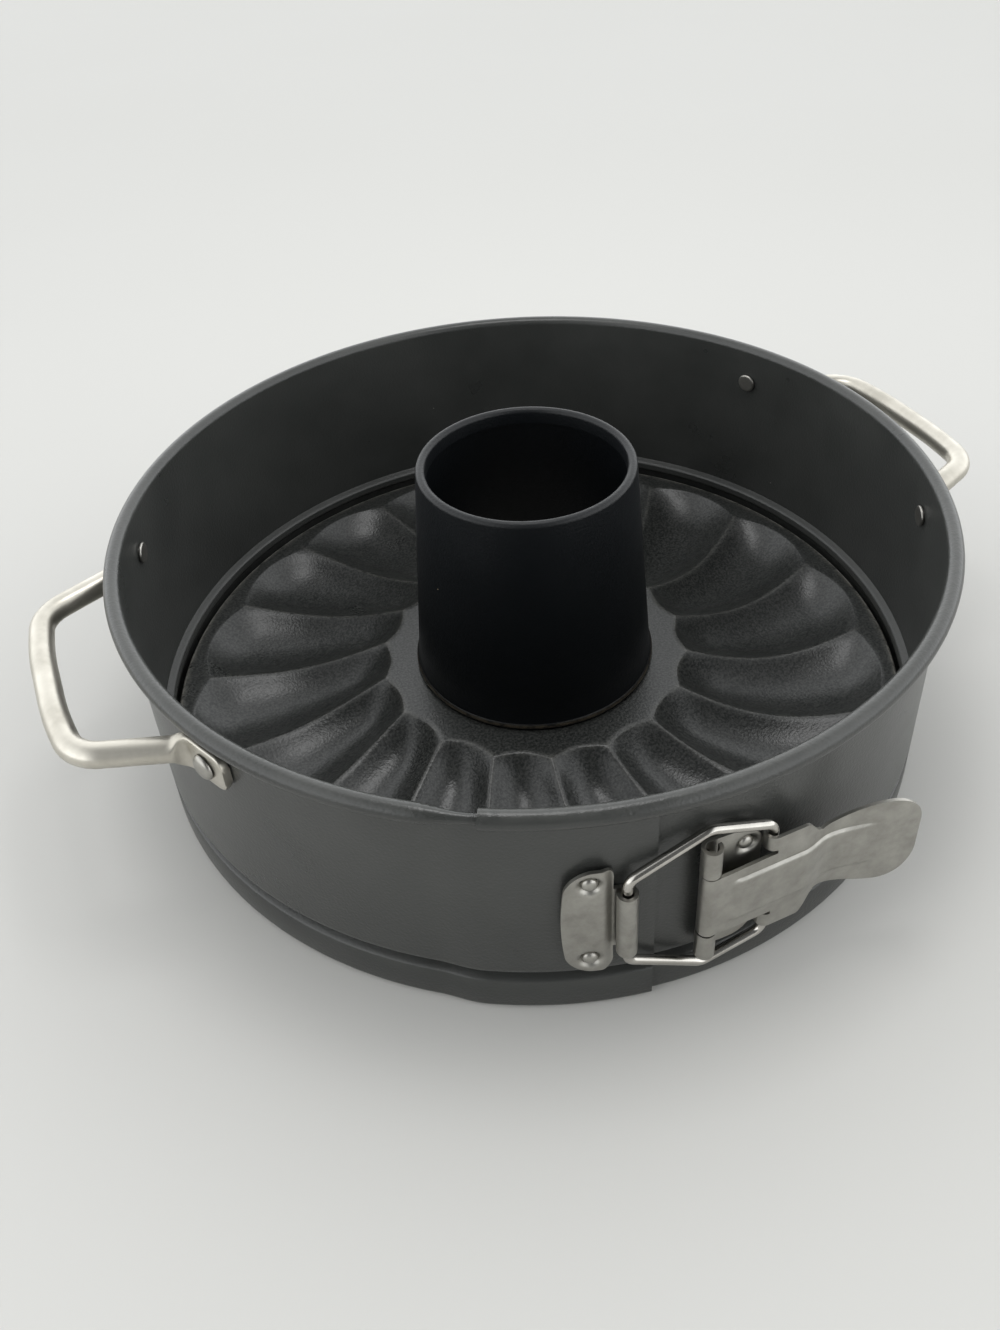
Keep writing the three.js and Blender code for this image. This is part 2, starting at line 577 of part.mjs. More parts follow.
/**
 * A latch plate that follows the wall from its rounded end to a rolled barrel. It lies to one side of
 * the barrel's axis; keeps(column) says which columns go on round the roll.
 */
function latchPlate(plate) {
  const { angle, side, width, tall, arch, shoulderCorner, rivetOffset, middleEdge, axis, curl } = plate;
  const shoulder = width - curl - PLATE_SHEET;
  const rivetAt = width - rivetOffset;
  const seat = [rivetAt - DIMPLE_SEAT, rivetAt, rivetAt + DIMPLE_SEAT];
  const corner = CORNER_SHARES.map((share) => share * seat[0]);
  const distances = [...corner, ...seat, lerp(seat[2], shoulder, 0.5), shoulder];
  const grid = distances.map((distance) => {
    const ends = [[PLATE_CORNER, distance], [shoulderCorner, shoulder - distance]];
    const height = Math.min(...ends.map(([round, away]) => roundedHeight(tall, round, away)));
    return plateColumns(height, tall, middleEdge).map((up) => {
      const bow = arch * (up / tall) ** 2 * (1 - distance / width);
      const along = width - distance - bow;
      const radius = plate.radiusAt(along) - dimple(along - rivetOffset, up);
      return polar(radius, angle + side * alongWall(along), LATCH_LEVEL + up);
    });
  });
  const alongWay = polar(side, angle + 90, 0);
  const outWay = polar(1, angle, 0);
  const columns = plateColumns(tall, tall, middleEdge);
  for (const roll of spread(-90, -90 - PLATE_ROLL, CURL_STEPS)) {
    const rolled = axis.clone();
    rolled.addScaledVector(alongWay, curl * Math.cos(radians(roll)));
    rolled.addScaledVector(outWay, curl * Math.sin(radians(roll)));
    const lifted = (up) => rolled.clone().addScaledVector(UP, up);
    grid.push(columns.map((up, column) => (plate.keeps(column) ? lifted(up) : null)));
  }
  return cut(sheet(grid, PLATE_SHEET), drills);
}

/** The hook plate, on the outer band end, with a barrel in its middle that holds the bail. */
function hookPlate() {
  const shoulder = HOOK_CURL + PLATE_SHEET;
  return latchPlate({
    angle: HOOK_ANGLE,
    side: -1,
    width: HOOK_PLATE_WIDTH,
    tall: HOOK_PLATE_HALF_HEIGHT,
    arch: HOOK_PLATE_ARCH,
    shoulderCorner: HOOK_PLATE_SHOULDER,
    radiusAt: (along) => HOOK_PLATE_RADIUS + PLATE_RISE * smooth((along - shoulder) / PLATE_BEND),
    rivetOffset: HOOK_RIVET_OFFSET,
    middleEdge: HOOK_BARREL / 2,
    axis: hookAxis,
    curl: HOOK_CURL,
    keeps: (column) => column > 2 && column < 6,
  });
}

/** The hinge plate, on the tongue's band end, with a knuckle above and below the lever's barrel. */
function hingePlate() {
  return latchPlate({
    angle: HINGE_ANGLE,
    side: 1,
    width: HINGE_PLATE_WIDTH,
    tall: HINGE_PLATE_HALF_HEIGHT,
    arch: 0,
    shoulderCorner: 0,
    radiusAt: () => HINGE_PLATE_RADIUS + PLATE_RISE,
    rivetOffset: HINGE_RIVET_OFFSET,
    middleEdge: LEVER_BARREL / 2 + KNUCKLE_GAP,
    axis: hingeAxis,
    curl: HINGE_CURL,
    keeps: (column) => column !== 4,
  });
}

/** The pin through the knuckles and the lever's barrel. */
function hingePin() {
  const length = 2 * HINGE_PLATE_HALF_HEIGHT - HINGE_PIN_RECESS;
  const pin = new THREE.CylinderGeometry(HINGE_PIN_RADIUS, HINGE_PIN_RADIUS, length, PIN_SIDES);
  return pin.rotateX(Math.PI / 2).translate(hingeAxis.x, hingeAxis.y, hingeAxis.z - HINGE_PIN_RECESS / 2);
}

/** The lever's half height along its length, without the ears. */
function leverHalfHeight(reach) {
  const body = lerp(LEVER_BARREL / 2, LEVER_HALF_HEIGHT, smooth(reach / EAR_REACH));
  const widening = smooth((reach - LEVER_NECK) / (LEVER_TIP_START - LEVER_NECK));
  return roundedHeight(lerp(body, LEVER_TIP_HALF_HEIGHT, widening), LEVER_TIP_CORNER, LEVER_LENGTH - reach);
}

/** How far out the lever's sheet lies along its length: flat, pressed in at the neck, flared at the tip. */
function leverLevel(reach) {
  const dip = LEVER_NECK_DIP * smooth((reach - EAR_STRAIGHT) / (LEVER_NECK_END - EAR_STRAIGHT));
  const flare = LEVER_TIP_FLARE * smooth((reach - LEVER_NECK_END) / (LEVER_LENGTH - LEVER_NECK_END));
  return LEVER_CURL - dip + flare;
}

/**
 * The columns of an ear at a row. In the ear's own rows they stand beside the body; in the rows before
 * them they roll back round the bail's end, and elsewhere there are none.
 */
function earColumns({ reach, level, half, isEar }, rowsToEar) {
  if (isEar) {
    const fade = smooth((reach - EAR_STRAIGHT) / (LEVER_NECK - EAR_STRAIGHT));
    const tall = lerp(EAR_HALF_HEIGHT, half + PANEL_EDGE / 2, fade);
    const heights = [1, EAR_SLIT, EAR_SLIT / 2].map((share) => lerp(half, tall, share));
    return heights.map((up) => new THREE.Vector3(reach, -level, up));
  }
  if (rowsToEar < 1 || rowsToEar > EAR_ROLL_STEPS) return [null, null, null];
  const roll = radians(90 + (rowsToEar / EAR_ROLL_STEPS) * EAR_ROLL);
  const x = EAR_REACH + EAR_CURL * Math.cos(roll);
  const y = EAR_CURL - LEVER_CURL - EAR_CURL * Math.sin(roll);
  return [new THREE.Vector3(x, y, EAR_HALF_HEIGHT), new THREE.Vector3(x, y, EAR_INNER), null];
}

/** The lever about its hinge, along +X and facing -Y, made from one blank. */
function lever() {
  const rows = [];
  for (const roll of spread(LEVER_ROLL_START, -270, CURL_STEPS).map(radians)) {
    const half = LEVER_BARREL / 2;
    rows.push({ reach: LEVER_CURL * Math.cos(roll), level: LEVER_CURL * Math.sin(roll), half, panel: 0 });
  }
  const body = spread(LEVER_CURL, EAR_REACH - EAR_CURL, 3);
  const ears = [...spread(EAR_REACH, EAR_STRAIGHT, 2), ...spread(EAR_STRAIGHT, LEVER_NECK, 3).slice(1)];
  const widening = spread(LEVER_NECK, LEVER_LENGTH - LEVER_TIP_CORNER, 6).slice(1);
  const turns = spread(0, 75, 5).slice(1).map(radians);
  const rounding = turns.map((turn) => LEVER_LENGTH - LEVER_TIP_CORNER * (1 - Math.sin(turn)));
  const tip = [...widening, ...rounding];
  for (const reach of [...body, ...ears, ...tip]) {
    const fade = smooth((reach - LEVER_CURL) / LEVER_CURL) * smooth((LEVER_TIP_START - reach) / LEVER_CURL);
    const row = { reach, level: leverLevel(reach), half: leverHalfHeight(reach) };
    rows.push({ ...row, panel: PANEL_RISE * fade, isEar: ears.includes(reach) });
  }
  const firstEar = rows.findIndex((row) => row.isEar);
  const grid = rows.map((row, i) => {
    const place = (up, rise) => new THREE.Vector3(row.reach, -row.level - rise, up);
    const panelHalf = Math.min(PANEL_HALF_HEIGHT, row.half - 2 * PANEL_EDGE);
    const flat = [place(row.half, 0), place(panelHalf + PANEL_EDGE, 0), place(panelHalf, row.panel)];
    const upper = [...earColumns(row, firstEar - i), ...flat];
    const lower = upper.map((p) => p && new THREE.Vector3(p.x, p.y, -p.z)).reverse();
    return [...upper, place(0, row.panel), ...lower];
  });
  return sheet(grid, LEVER_SHEET);
}

/** The bail: through the hook barrel, flared past the hinge, with its ends turned into the lever's ears. */
function bail() {
  const run = earAxis.clone().sub(hookAxis);
  const length = run.length();
  const way = run.normalize();
  const end = lerp(LEVER_HALF_HEIGHT, EAR_INNER, 0.5);
  const flareReach = length * BAIL_FLARE_SHARE;
  const corners = [
    [length, end], [length, BAIL_END_UPPER], [flareReach, BAIL_FLARE_UPPER], [0, BAIL_NECK],
    [0, -BAIL_NECK], [flareReach, -BAIL_FLARE_LOWER], [length, -BAIL_END_LOWER], [length, -end],
  ].map(([reach, up]) => new THREE.Vector2(reach, up));
  const radii = corners.slice(1, -1).map(() => BAIL_BEND);
  const place = (p) => hookAxis.clone().addScaledVector(way, p.x).addScaledVector(UP, p.y);
  const path = roundCorners(corners, radii, BEND_STEPS).map(place);
  return sweep(path, way.clone().cross(UP), () => barSection(BAIL_WIRE / 2, BAIL_WIRE / 2, 2, WIRE_SIDES));
}

/** A rivet along +Y: a domed head at the top, a shank, and a flat tail. */
function rivetGeometry({ type, outside, inside }) {
  const grip = outside - inside;
  const profile = [
    [0, -type.tailHeight],
    [type.tail * 0.9, -type.tailHeight],
    [type.tail, 0],
    [type.shank, 0],
    [type.shank, grip],
    [type.head, grip],
    [type.head * 0.93, grip + type.crown * 0.4],
    [type.head * 0.6, grip + type.crown * 0.85],
    [0, grip + type.crown],
  ];
  return new THREE.LatheGeometry(profile.map(([x, y]) => new THREE.Vector2(x, y)), RIVET_STEPS);
}

add("ring_band", ringBand(), coated);
add("fluted_base", flutedBase(), coated);
add("centre_tube", centreTube(), tubeCoat);
const rightHandle = handle().rotateZ(radians(-HANDLE_TURN));
const leftHandle = handle().rotateZ(radians(180 + HANDLE_TURN));
add("right_handle", cut(rightHandle, drills), satinWire);
add("left_handle", cut(leftHandle, drills), satinWire);
add("latch_hook_plate", hookPlate(), platedSteel);
add("latch_hinge_plate", hingePlate(), platedSteel);
add("hinge_pin", hingePin(), platedSteel);
const leverMesh = add("latch_lever", lever(), platedSteel);
leverMesh.position.copy(hingeAxis);
leverMesh.rotation.z = leverTurn;
add("wire_bail", bail(), brightWire);
for (const [name, rivet] of Object.entries(rivets)) {
  const piece = rivetGeometry(rivet).rotateZ(radians(rivet.angle - 90));
  piece.translate(...polar(rivet.inside, rivet.angle, rivet.height));
  add(name, piece, platedSteel);
}

export default pan;
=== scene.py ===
"""A springform pan with a fluted tube base, dressed for rendering.

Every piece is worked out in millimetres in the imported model's own frame: +Z up, the origin on the pan's axis
on the surface that it stands on, the handles on +X and -X, the latch towards -Y. Meshes are written in metres.
"""

import logging
from dataclasses import dataclass, field
from enum import Enum
from typing import Any, Optional

import bpy
import numpy as np
from mathutils import Matrix

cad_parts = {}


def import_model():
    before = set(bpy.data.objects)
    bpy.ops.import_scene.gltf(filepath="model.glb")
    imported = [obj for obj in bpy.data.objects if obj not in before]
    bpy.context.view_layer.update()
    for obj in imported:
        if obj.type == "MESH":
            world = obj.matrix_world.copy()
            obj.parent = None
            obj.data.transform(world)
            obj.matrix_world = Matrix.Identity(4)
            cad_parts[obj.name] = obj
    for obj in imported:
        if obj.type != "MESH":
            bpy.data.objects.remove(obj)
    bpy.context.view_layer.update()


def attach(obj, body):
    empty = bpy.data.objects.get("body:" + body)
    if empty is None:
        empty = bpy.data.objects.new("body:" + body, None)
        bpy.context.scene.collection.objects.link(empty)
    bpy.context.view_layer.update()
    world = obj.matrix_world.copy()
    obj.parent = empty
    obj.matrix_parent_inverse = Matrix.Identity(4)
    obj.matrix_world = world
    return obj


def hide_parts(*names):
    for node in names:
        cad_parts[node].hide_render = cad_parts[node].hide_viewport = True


LOG = logging.getLogger("pan")
MM = 0.001
Array = np.ndarray
UP = np.array([0.0, 0.0, 1.0])
POLE = 0.05  # Radius of the last ring of a turned solid, in millimetres.


class Slot(Enum):
    """The record's material slots."""

    COAT = "coated_steel"
    TUBE_COAT = "dark_coated_steel"
    PLATED = "plated_steel"
    BRIGHT_WIRE = "bright_wire"
    SATIN_WIRE = "satin_wire"


class Body(Enum):
    """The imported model's moving bodies."""

    RING = "ring"
    BASE = "base"
    LEVER = "lever"
    BAIL = "bail"


def smooth(t: Array | float) -> Array:
    """Eases from 0 to 1 as t goes from 0 to 1, level at both ends."""
    t = np.clip(t, 0.0, 1.0)
    return t * t * (3.0 - 2.0 * t)


def mix(a: Array | float, b: Array | float, t: Array | float) -> Array:
    """Goes from a to b in a straight line as t goes from 0 to 1."""
    return a + (b - a) * t


def polar(radius: Array | float, angle: Array | float, height: Array | float) -> Array:
    """Points at a radius, an angle in degrees about the pan's axis, and a height.

    Args:
        radius: Distance from the axis.
        angle: Degrees from +X.
        height: Height over the standing surface.

    Returns:
        Points, with x, y, z in the last axis.
    """
    radius, angle, height = np.broadcast_arrays(radius, np.radians(angle), height)
    return np.stack([radius * np.cos(angle), radius * np.sin(angle), height], axis=-1)


def arc(centre: tuple[float, float], radius: float, start: float, end: float, steps: int) -> Array:
    """Points of an arc in a plane, from one angle in degrees to another.

    Args:
        centre: The arc's centre.
        radius: The arc's radius.
        start: First angle.
        end: Last angle.
        steps: Number of steps.

    Returns:
        Points of shape (steps + 1, 2).
    """
    turn = np.radians(np.linspace(start, end, steps + 1))
    return np.stack([centre[0] + radius * np.cos(turn), centre[1] + radius * np.sin(turn)], axis=-1)


def round_corners(corners: Array, radii: Array, steps: int) -> Array:
    """Rounds the inner corners of a line in a plane.

    Each corner gives way to an arc that touches both its legs: the arc's centre lies on the corner's bisector
    at radius / sin(half angle), and its points turn evenly from one touching point to the other.

    Args:
        corners: Points of shape (n, 2).
        radii: Radii of the n - 2 inner corners.
        steps: Steps of each arc.

    Returns:
        The rounded line's points.
    """
    here = corners[1:-1]
    back = corners[:-2] - here
    ahead = corners[2:] - here
    back = back / np.linalg.norm(back, axis=1, keepdims=True)
    ahead = ahead / np.linalg.norm(ahead, axis=1, keepdims=True)
    half = 0.5 * np.arccos(np.clip((back * ahead).sum(1), -1.0, 1.0))
    bisector = back + ahead
    bisector = bisector / np.linalg.norm(bisector, axis=1, keepdims=True)
    centre = here + bisector * (radii / np.sin(half))[:, None]
    reach = (radii / np.tan(half))[:, None]
    first = here + back * reach - centre
    last = here + ahead * reach - centre
    turn = (np.pi - 2.0 * half)[:, None]
    t = np.linspace(0.0, 1.0, steps + 1)[None, :]
    a = np.sin((1.0 - t) * turn) / np.sin(turn)
    b = np.sin(t * turn) / np.sin(turn)
    arcs = centre[:, None] + a[..., None] * first[:, None] + b[..., None] * last[:, None]
    return np.concatenate([corners[:1], arcs.reshape(-1, 2), corners[-1:]])


def even(line: Array, spacing: float) -> Array:
    """The same line with points at an even spacing along it.

    Args:
        line: Points of shape (n, dimensions).
        spacing: Wanted distance between points.

    Returns:
        Points along the line, the first and the last kept.
    """
    run = np.concatenate([[0.0], np.cumsum(np.linalg.norm(np.diff(line, axis=0), axis=1))])
    places = np.linspace(0.0, run[-1], max(2, int(round(run[-1] / spacing)) + 1))
    return np.stack([np.interp(places, run, column) for column in line.T], axis=-1)


def pair(radius: Array | float, height: Array | float) -> Array:
    """Radii and heights, broadcast against each other, as points of a plane."""
    return np.stack(np.broadcast_arrays(radius, height), axis=-1)


@dataclass
class Solid:
    """A closed surface in millimetres, with its faces and its marks (one number per point)."""

    points: Array
    quads: Array
    triangles: Array = field(default_factory=lambda: np.zeros((0, 3), int))
    marks: dict[str, Array] = field(default_factory=dict)

    def facing_out(self) -> "Solid":
        """The same solid with its faces outwards: where the volume by the faces is negative they are turned."""
        split = np.concatenate([self.quads[:, [0, 1, 2]], self.quads[:, [0, 2, 3]], self.triangles])
        a, b, c = (self.points[split[:, k]] for k in range(3))
        if np.einsum("ij,ij->i", a, np.cross(b, c)).sum() >= 0.0:
            return self
        return Solid(self.points, self.quads[:, ::-1], self.triangles[:, ::-1], self.marks)


def sheet(
    grid: Array,
    thickness: float,
    keep: Optional[Array] = None,
    wrap: bool = False,
    marks: Optional[dict[str, Array]] = None,
) -> Solid:
    """Gives the middle surface of a pressed sheet its thickness.

    The grid's points move half the thickness to either side, along the mean normal of the cells around them.
    Cells with a corner that isn't kept are cut away, and every free edge gets a wall.

    Args:
        grid: Points of shape (rows, columns, 3).
        thickness: The sheet's thickness.
        keep: Which points belong to the sheet; all of them by default.
        wrap: Whether the last row joins the first.
        marks: Numbers of shape (rows, columns) that go with the points.

    Returns:
        The sheet as a closed solid.
    """
    rows, columns, _ = grid.shape
    count = rows * columns
    points = grid.reshape(-1, 3)
    kept = np.ones(count, bool) if keep is None else keep.reshape(-1)
    row = np.arange(rows if wrap else rows - 1)[:, None]
    column = np.arange(columns - 1)[None, :]
    low, high = row * columns + column, ((row + 1) % rows) * columns + column
    cells = np.stack([low, high, high + 1, low + 1], axis=-1).reshape(-1, 4)
    cells = cells[kept[cells].all(axis=1)]
    across = points[cells[:, 2]] - points[cells[:, 0]]
    along = points[cells[:, 3]] - points[cells[:, 1]]
    facing = np.cross(across, along)
    normals = np.zeros_like(points)
    for corner in range(4):
        np.add.at(normals, cells[:, corner], facing)
    normals /= np.maximum(np.linalg.norm(normals, axis=1, keepdims=True), 1e-12)
    starts = cells.reshape(-1)
    ends = np.roll(cells, -1, axis=1).reshape(-1)
    free = ~np.isin(starts * count + ends, ends * count + starts)
    starts, ends = starts[free], ends[free]
    walls = np.stack([ends, starts, starts + count, ends + count], axis=-1)
    faces = np.concatenate([cells, cells[:, ::-1] + count, walls])
    shell = np.concatenate([points + normals * thickness / 2, points - normals * thickness / 2])
    used, where = np.unique(faces, return_inverse=True)
    values = {name: np.tile(mark.reshape(-1), 2)[used] for name, mark in (marks or {}).items()}
    return Solid(shell[used], where.reshape(faces.shape), marks=values).facing_out()


def sweep(path: Array, normal: Array, section: Array) -> Solid:
    """Carries a closed section along a path that lies in a plane.

    At each point the section's first coordinate goes along normal x tangent and its second along the normal.

    Args:
        path: Points of shape (n, 3).
        normal: The plane's unit normal.
        section: Section points of shape (n, sides, 2).

    Returns:
        The bar as a closed solid, each end closed by a fan of triangles.
    """
    tangent = np.gradient(path, axis=0)
    tangent /= np.linalg.norm(tangent, axis=1, keepdims=True)
    side = np.cross(normal[None], tangent)
    grid = path[:, None] + section[..., :1] * side[:, None] + section[..., 1:] * normal[None, None]
    return tube_of(grid)


def tube_of(rings: Array) -> Solid:
    """Joins rings of points into a closed solid, with a point in the middle of the first and the last ring.

    Args:
        rings: Points of shape (rings, sides, 3).

    Returns:
        The closed solid.
    """
    count, sides, _ = rings.shape
    points = np.concatenate([rings.reshape(-1, 3), rings[0].mean(0)[None], rings[-1].mean(0)[None]])
    ring = np.arange(count - 1)[:, None] * sides
    here, after = np.arange(sides)[None, :], (np.arange(sides)[None, :] + 1) % sides
    quads = np.stack([ring + here, ring + after, ring + sides + after, ring + sides + here], axis=-1)
    first = np.stack([np.full(sides, count * sides), after[0], here[0]], axis=-1)
    base = (count - 1) * sides
    last = np.stack([np.full(sides, count * sides + 1), base + here[0], base + after[0]], axis=-1)
    return Solid(points, quads.reshape(-1, 4), np.concatenate([first, last])).facing_out()


def spin(profile: Array, origin: Array, across: Array, other: Array, sides: int = 28) -> Solid:
    """Turns a profile about the axis across x other.

    Args:
        profile: Points as distance from the axis and place along it.
        origin: The axis's point at place 0.
        across: A unit direction square to the axis.
        other: The direction square to both.
        sides: Points round the axis.

    Returns:
        The closed solid.
    """
    turn = np.linspace(0.0, 2.0 * np.pi, sides, endpoint=False)[:, None]
    around = np.cos(turn) * across + np.sin(turn) * other
    return tube_of(origin + profile[:, None, :1] * around + profile[:, None, 1:] * np.cross(across, other))


def bar_section(half_width: Array, half_height: Array, squareness: Array, sides: int) -> Array:
    """Sections between a round and a flat bar.

    A superellipse: each coordinate is half the size times |cos| or |sin| to the power 2 / squareness.

    Args:
        half_width: Half the width at each place.
        half_height: Half the height at each place.
        squareness: 2 for round, more for square corners.
        sides: Points round the section.

    Returns:
        Points of shape (places, sides, 2).
    """
    turn = np.linspace(0.0, 2.0 * np.pi, sides, endpoint=False)[None, :]
    power = 2.0 / np.asarray(squareness, float)[:, None]
    x = np.sign(np.cos(turn)) * np.abs(np.cos(turn)) ** power
    y = np.sign(np.sin(turn)) * np.abs(np.sin(turn)) ** power
    return np.stack([np.asarray(half_width)[:, None] * x, np.asarray(half_height)[:, None] * y], axis=-1)


def linear(code: str) -> tuple[float, float, float, float]:
    """An sRGB hex value as linear red, green, blue and alpha."""
    srgb = np.array([int(code[i:i + 2], 16) / 255.0 for i in (1, 3, 5)])
    value = np.where(srgb <= 0.04045, srgb / 12.92, ((srgb + 0.055) / 1.055) ** 2.4)
    return (*value.tolist(), 1.0)


def per_metre(size: float) -> float:
    """The texture scale at which a pattern repeats about every size millimetres."""
    return 1.0 / (size * MM)


def add_node(tree: Any, kind: str, inputs: Optional[dict[Any, Any]] = None, **settings: Any) -> Any:
    """Adds one shader node to a node tree.

    Args:
        tree: The node tree.
        kind: The node's type name, without ShaderNode.
        inputs: Socket name or number against a value to set, or a socket or node (its first output) to link.
        settings: The node's own properties.

    Returns:
        The new node.
    """
    made = tree.nodes.new(f"ShaderNode{kind}")
    for name, value in settings.items():
        setattr(made, name, value)
    for socket, value in (inputs or {}).items():
        if isinstance(value, bpy.types.Node):
            value = next(output for output in value.outputs if output.enabled)
        if isinstance(value, bpy.types.NodeSocket):
            tree.links.new(value, made.inputs[socket])
        else:
            made.inputs[socket].default_value = value
    return made


def put(name: str, data: Any) -> Any:
    """Makes an object of its data and links it to the scene."""
    made = bpy.data.objects.new(name, data)
    bpy.context.scene.collection.objects.link(made)
    return made


@dataclass(frozen=True)
class Finish:
    """A surface's finish, with the tones that it has where its pattern is low and high."""

    name: str
    low: str
    high: str

    def tone(self, tree: Any, share: Any) -> Any:
        """The node that mixes the two tones by a share of the pattern."""
        tones = {"Factor": share, "A": linear(self.low), "B": linear(self.high)}
        return add_node(tree, "Mix", tones, data_type="RGBA")

    def surface(self, tree: Any, place: Any) -> dict[str, Any]:
        """Adds the pattern's nodes.

        Args:
            tree: The material's node tree.
            place: The socket with the place on the piece.

        Returns:
            What goes into the shader's sockets.
        """
        raise NotImplementedError

    def material(self) -> Any:
        """Builds the finish's material."""
        material = bpy.data.materials.new(self.name)
        material.use_nodes = True
        tree = material.node_tree
        tree.nodes.clear()
        place = add_node(tree, "TexCoord").outputs["Object"]
        shader = add_node(tree, "BsdfPrincipled", self.surface(tree, place))
        add_node(tree, "OutputMaterial", {"Surface": shader})
        return material


@dataclass(frozen=True)
class NonStickCoat(Finish):
    """Steel sheet with a sprayed and baked PTFE non-stick coat.

    A dielectric film: dark, satin, with a fine orange peel that breaks highlights into specks, faint clouds in
    its tone, and grey steel where tools and cloths have rubbed it along the sharp ridges. The same grey, laid
    along the base's rim corner in the groove's shade, is partly rubbed steel and partly a painted highlight.
    """

    rubbed: str
    roughness: float
    index: float
    cloud_size: float = 38.0
    peel_size: float = 0.75
    peel_depth: float = 0.09
    rub_size: float = 3.0
    crumb_spacing: float = 11.0
    crumb_radius: float = 0.22
    crumb_share: float = 0.16
    gloss_spread: float = 0.05

    def surface(self, tree: Any, place: Any) -> dict[str, Any]:
        """Clouds in the tone, or grain where marked; rubbed places, partly a painted highlight, and crumbs over
        it.
        """
        cloud = add_node(tree, "TexNoise", {
            "Vector": place, "Scale": per_metre(self.cloud_size), "Detail": 4.0, "Roughness": 0.6})
        peel = add_node(tree, "TexNoise", {
            "Vector": place, "Scale": per_metre(self.peel_size), "Detail": 2.0, "Roughness": 0.55})
        # The grain is drawn coarser than the real one, so that it shows.
        grain = add_node(tree, "MapRange", {
            "Value": peel, "From Min": 0.38, "From Max": 0.64, "To Max": 0.85})
        plain = add_node(tree, "MapRange", {
            "Value": cloud, "From Min": 0.3, "From Max": 0.7, "To Min": 0.45, "To Max": 0.8})
        grained = add_node(tree, "Attribute", attribute_name="grain").outputs["Fac"]
        level = add_node(tree, "Mix", {"Factor": grained, "A": plain, "B": grain})
        # The rub mark: rubbed places on ridges, lips, bead and tube foot; on the base's rim corner it is partly
        # a painted highlight.
        wear_and_highlight = add_node(tree, "Attribute", attribute_name="wear_and_highlight").outputs["Fac"]
        patch = add_node(tree, "TexNoise", {
            "Vector": place, "Scale": per_metre(self.rub_size), "Detail": 3.0, "Roughness": 0.7})
        broken = add_node(tree, "MapRange", {"Value": patch, "From Min": 0.3, "From Max": 0.55})
        bare_and_highlight = add_node(tree, "Math", {0: wear_and_highlight, 1: broken}, operation="MULTIPLY")
        crumb = add_node(tree, "TexVoronoi", {"Vector": place, "Scale": per_metre(self.crumb_spacing)})
        speck_size = self.crumb_radius / self.crumb_spacing
        speck = add_node(tree, "Math", {0: crumb.outputs["Distance"], 1: speck_size}, operation="LESS_THAN")
        lot = add_node(tree, "SeparateColor", {"Color": crumb.outputs["Color"]})
        rare = add_node(tree, "Math", {0: lot.outputs["Red"], 1: self.crumb_share}, operation="LESS_THAN")
        dust = add_node(tree, "Math", {0: speck, 1: rare}, operation="MULTIPLY")
        mark = add_node(tree, "Math", {0: bare_and_highlight, 1: dust}, operation="MAXIMUM")
        # The rubbed colour shows bare steel, and along the base's rim corner it also paints a highlight.
        marked = {"Factor": mark, "A": self.tone(tree, level), "B": linear(self.rubbed)}
        colour = add_node(tree, "Mix", marked, data_type="RGBA")
        gloss = add_node(tree, "MapRange", {
            "Value": cloud, "From Min": 0.3, "From Max": 0.7,
            "To Min": self.roughness - self.gloss_spread, "To Max": self.roughness + self.gloss_spread})
        bump = add_node(tree, "Bump", {"Height": peel, "Strength": 1.0, "Distance": self.peel_depth * MM})
        return {"Base Color": colour, "Roughness": gloss, "Normal": bump, "IOR": self.index}


@dataclass(frozen=True)
class PlatedSheet(Finish):
    """Tin-plated steel sheet, pressed and long used.

    A metal: dull, mottled by water spots and handling, with fine scratches along the sheet's rolling direction.
    """

    roughness: float
    spot_size: float = 6.0
    spot_depth: float = 0.06
    scratch_width: float = 0.25
    scratch_length: float = 9.0
    scratch_depth: float = 0.02

    def surface(self, tree: Any, place: Any) -> dict[str, Any]:
        """Spots in tone and gloss, low waves under them, and scratches stretched along X."""
        spots = add_node(tree, "TexNoise", {
            "Vector": place, "Scale": per_metre(self.spot_size), "Detail": 5.0, "Roughness": 0.62})
        level = add_node(tree, "MapRange", {"Value": spots, "From Min": 0.3, "From Max": 0.7})
        along, across = per_metre(self.scratch_length), per_metre(self.scratch_width)
        stretched = add_node(tree, "Mapping", {"Vector": place, "Scale": (along, across, across)})
        scratch = add_node(tree, "TexNoise", {"Vector": stretched, "Scale": 1.0, "Detail": 2.0})
        gloss = add_node(tree, "MapRange", {
            "Value": level, "To Min": self.roughness + 0.09, "To Max": self.roughness - 0.07})
        fine = add_node(tree, "Bump", {
            "Height": scratch, "Strength": 0.5, "Distance": self.scratch_depth * MM})
        waves = add_node(tree, "Bump", {
            "Height": spots, "Strength": 0.5, "Distance": self.spot_depth * MM, "Normal": fine})
        return {"Base Color": self.tone(tree, level), "Metallic": 1.0, "Roughness": gloss, "Normal": waves}


@dataclass(frozen=True)
class PlatedWire(Finish):
    """Drawn steel wire with a nickel plate, bent after plating.

    A metal: even in colour, brighter or duller by its polish, with a fine grain and a few dull places.
    """

    roughness: float
    grain_size: float = 0.5
    grain_depth: float = 0.01
    dull_size: float = 14.0

    def surface(self, tree: Any, place: Any) -> dict[str, Any]:
        """Dull places in tone and gloss, and a fine grain."""
        dull = add_node(tree, "TexNoise", {
            "Vector": place, "Scale": per_metre(self.dull_size), "Detail": 4.0, "Roughness": 0.65})
        level = add_node(tree, "MapRange", {"Value": dull, "From Min": 0.32, "From Max": 0.68})
        grain = add_node(tree, "TexNoise", {
            "Vector": place, "Scale": per_metre(self.grain_size), "Detail": 2.0})
        gloss = add_node(tree, "MapRange", {
            "Value": level, "To Min": self.roughness, "To Max": self.roughness * 1.5})
        bump = add_node(tree, "Bump", {"Height": grain, "Strength": 1.0, "Distance": self.grain_depth * MM})
        return {"Base Color": self.tone(tree, level), "Metallic": 1.0, "Roughness": gloss, "Normal": bump}


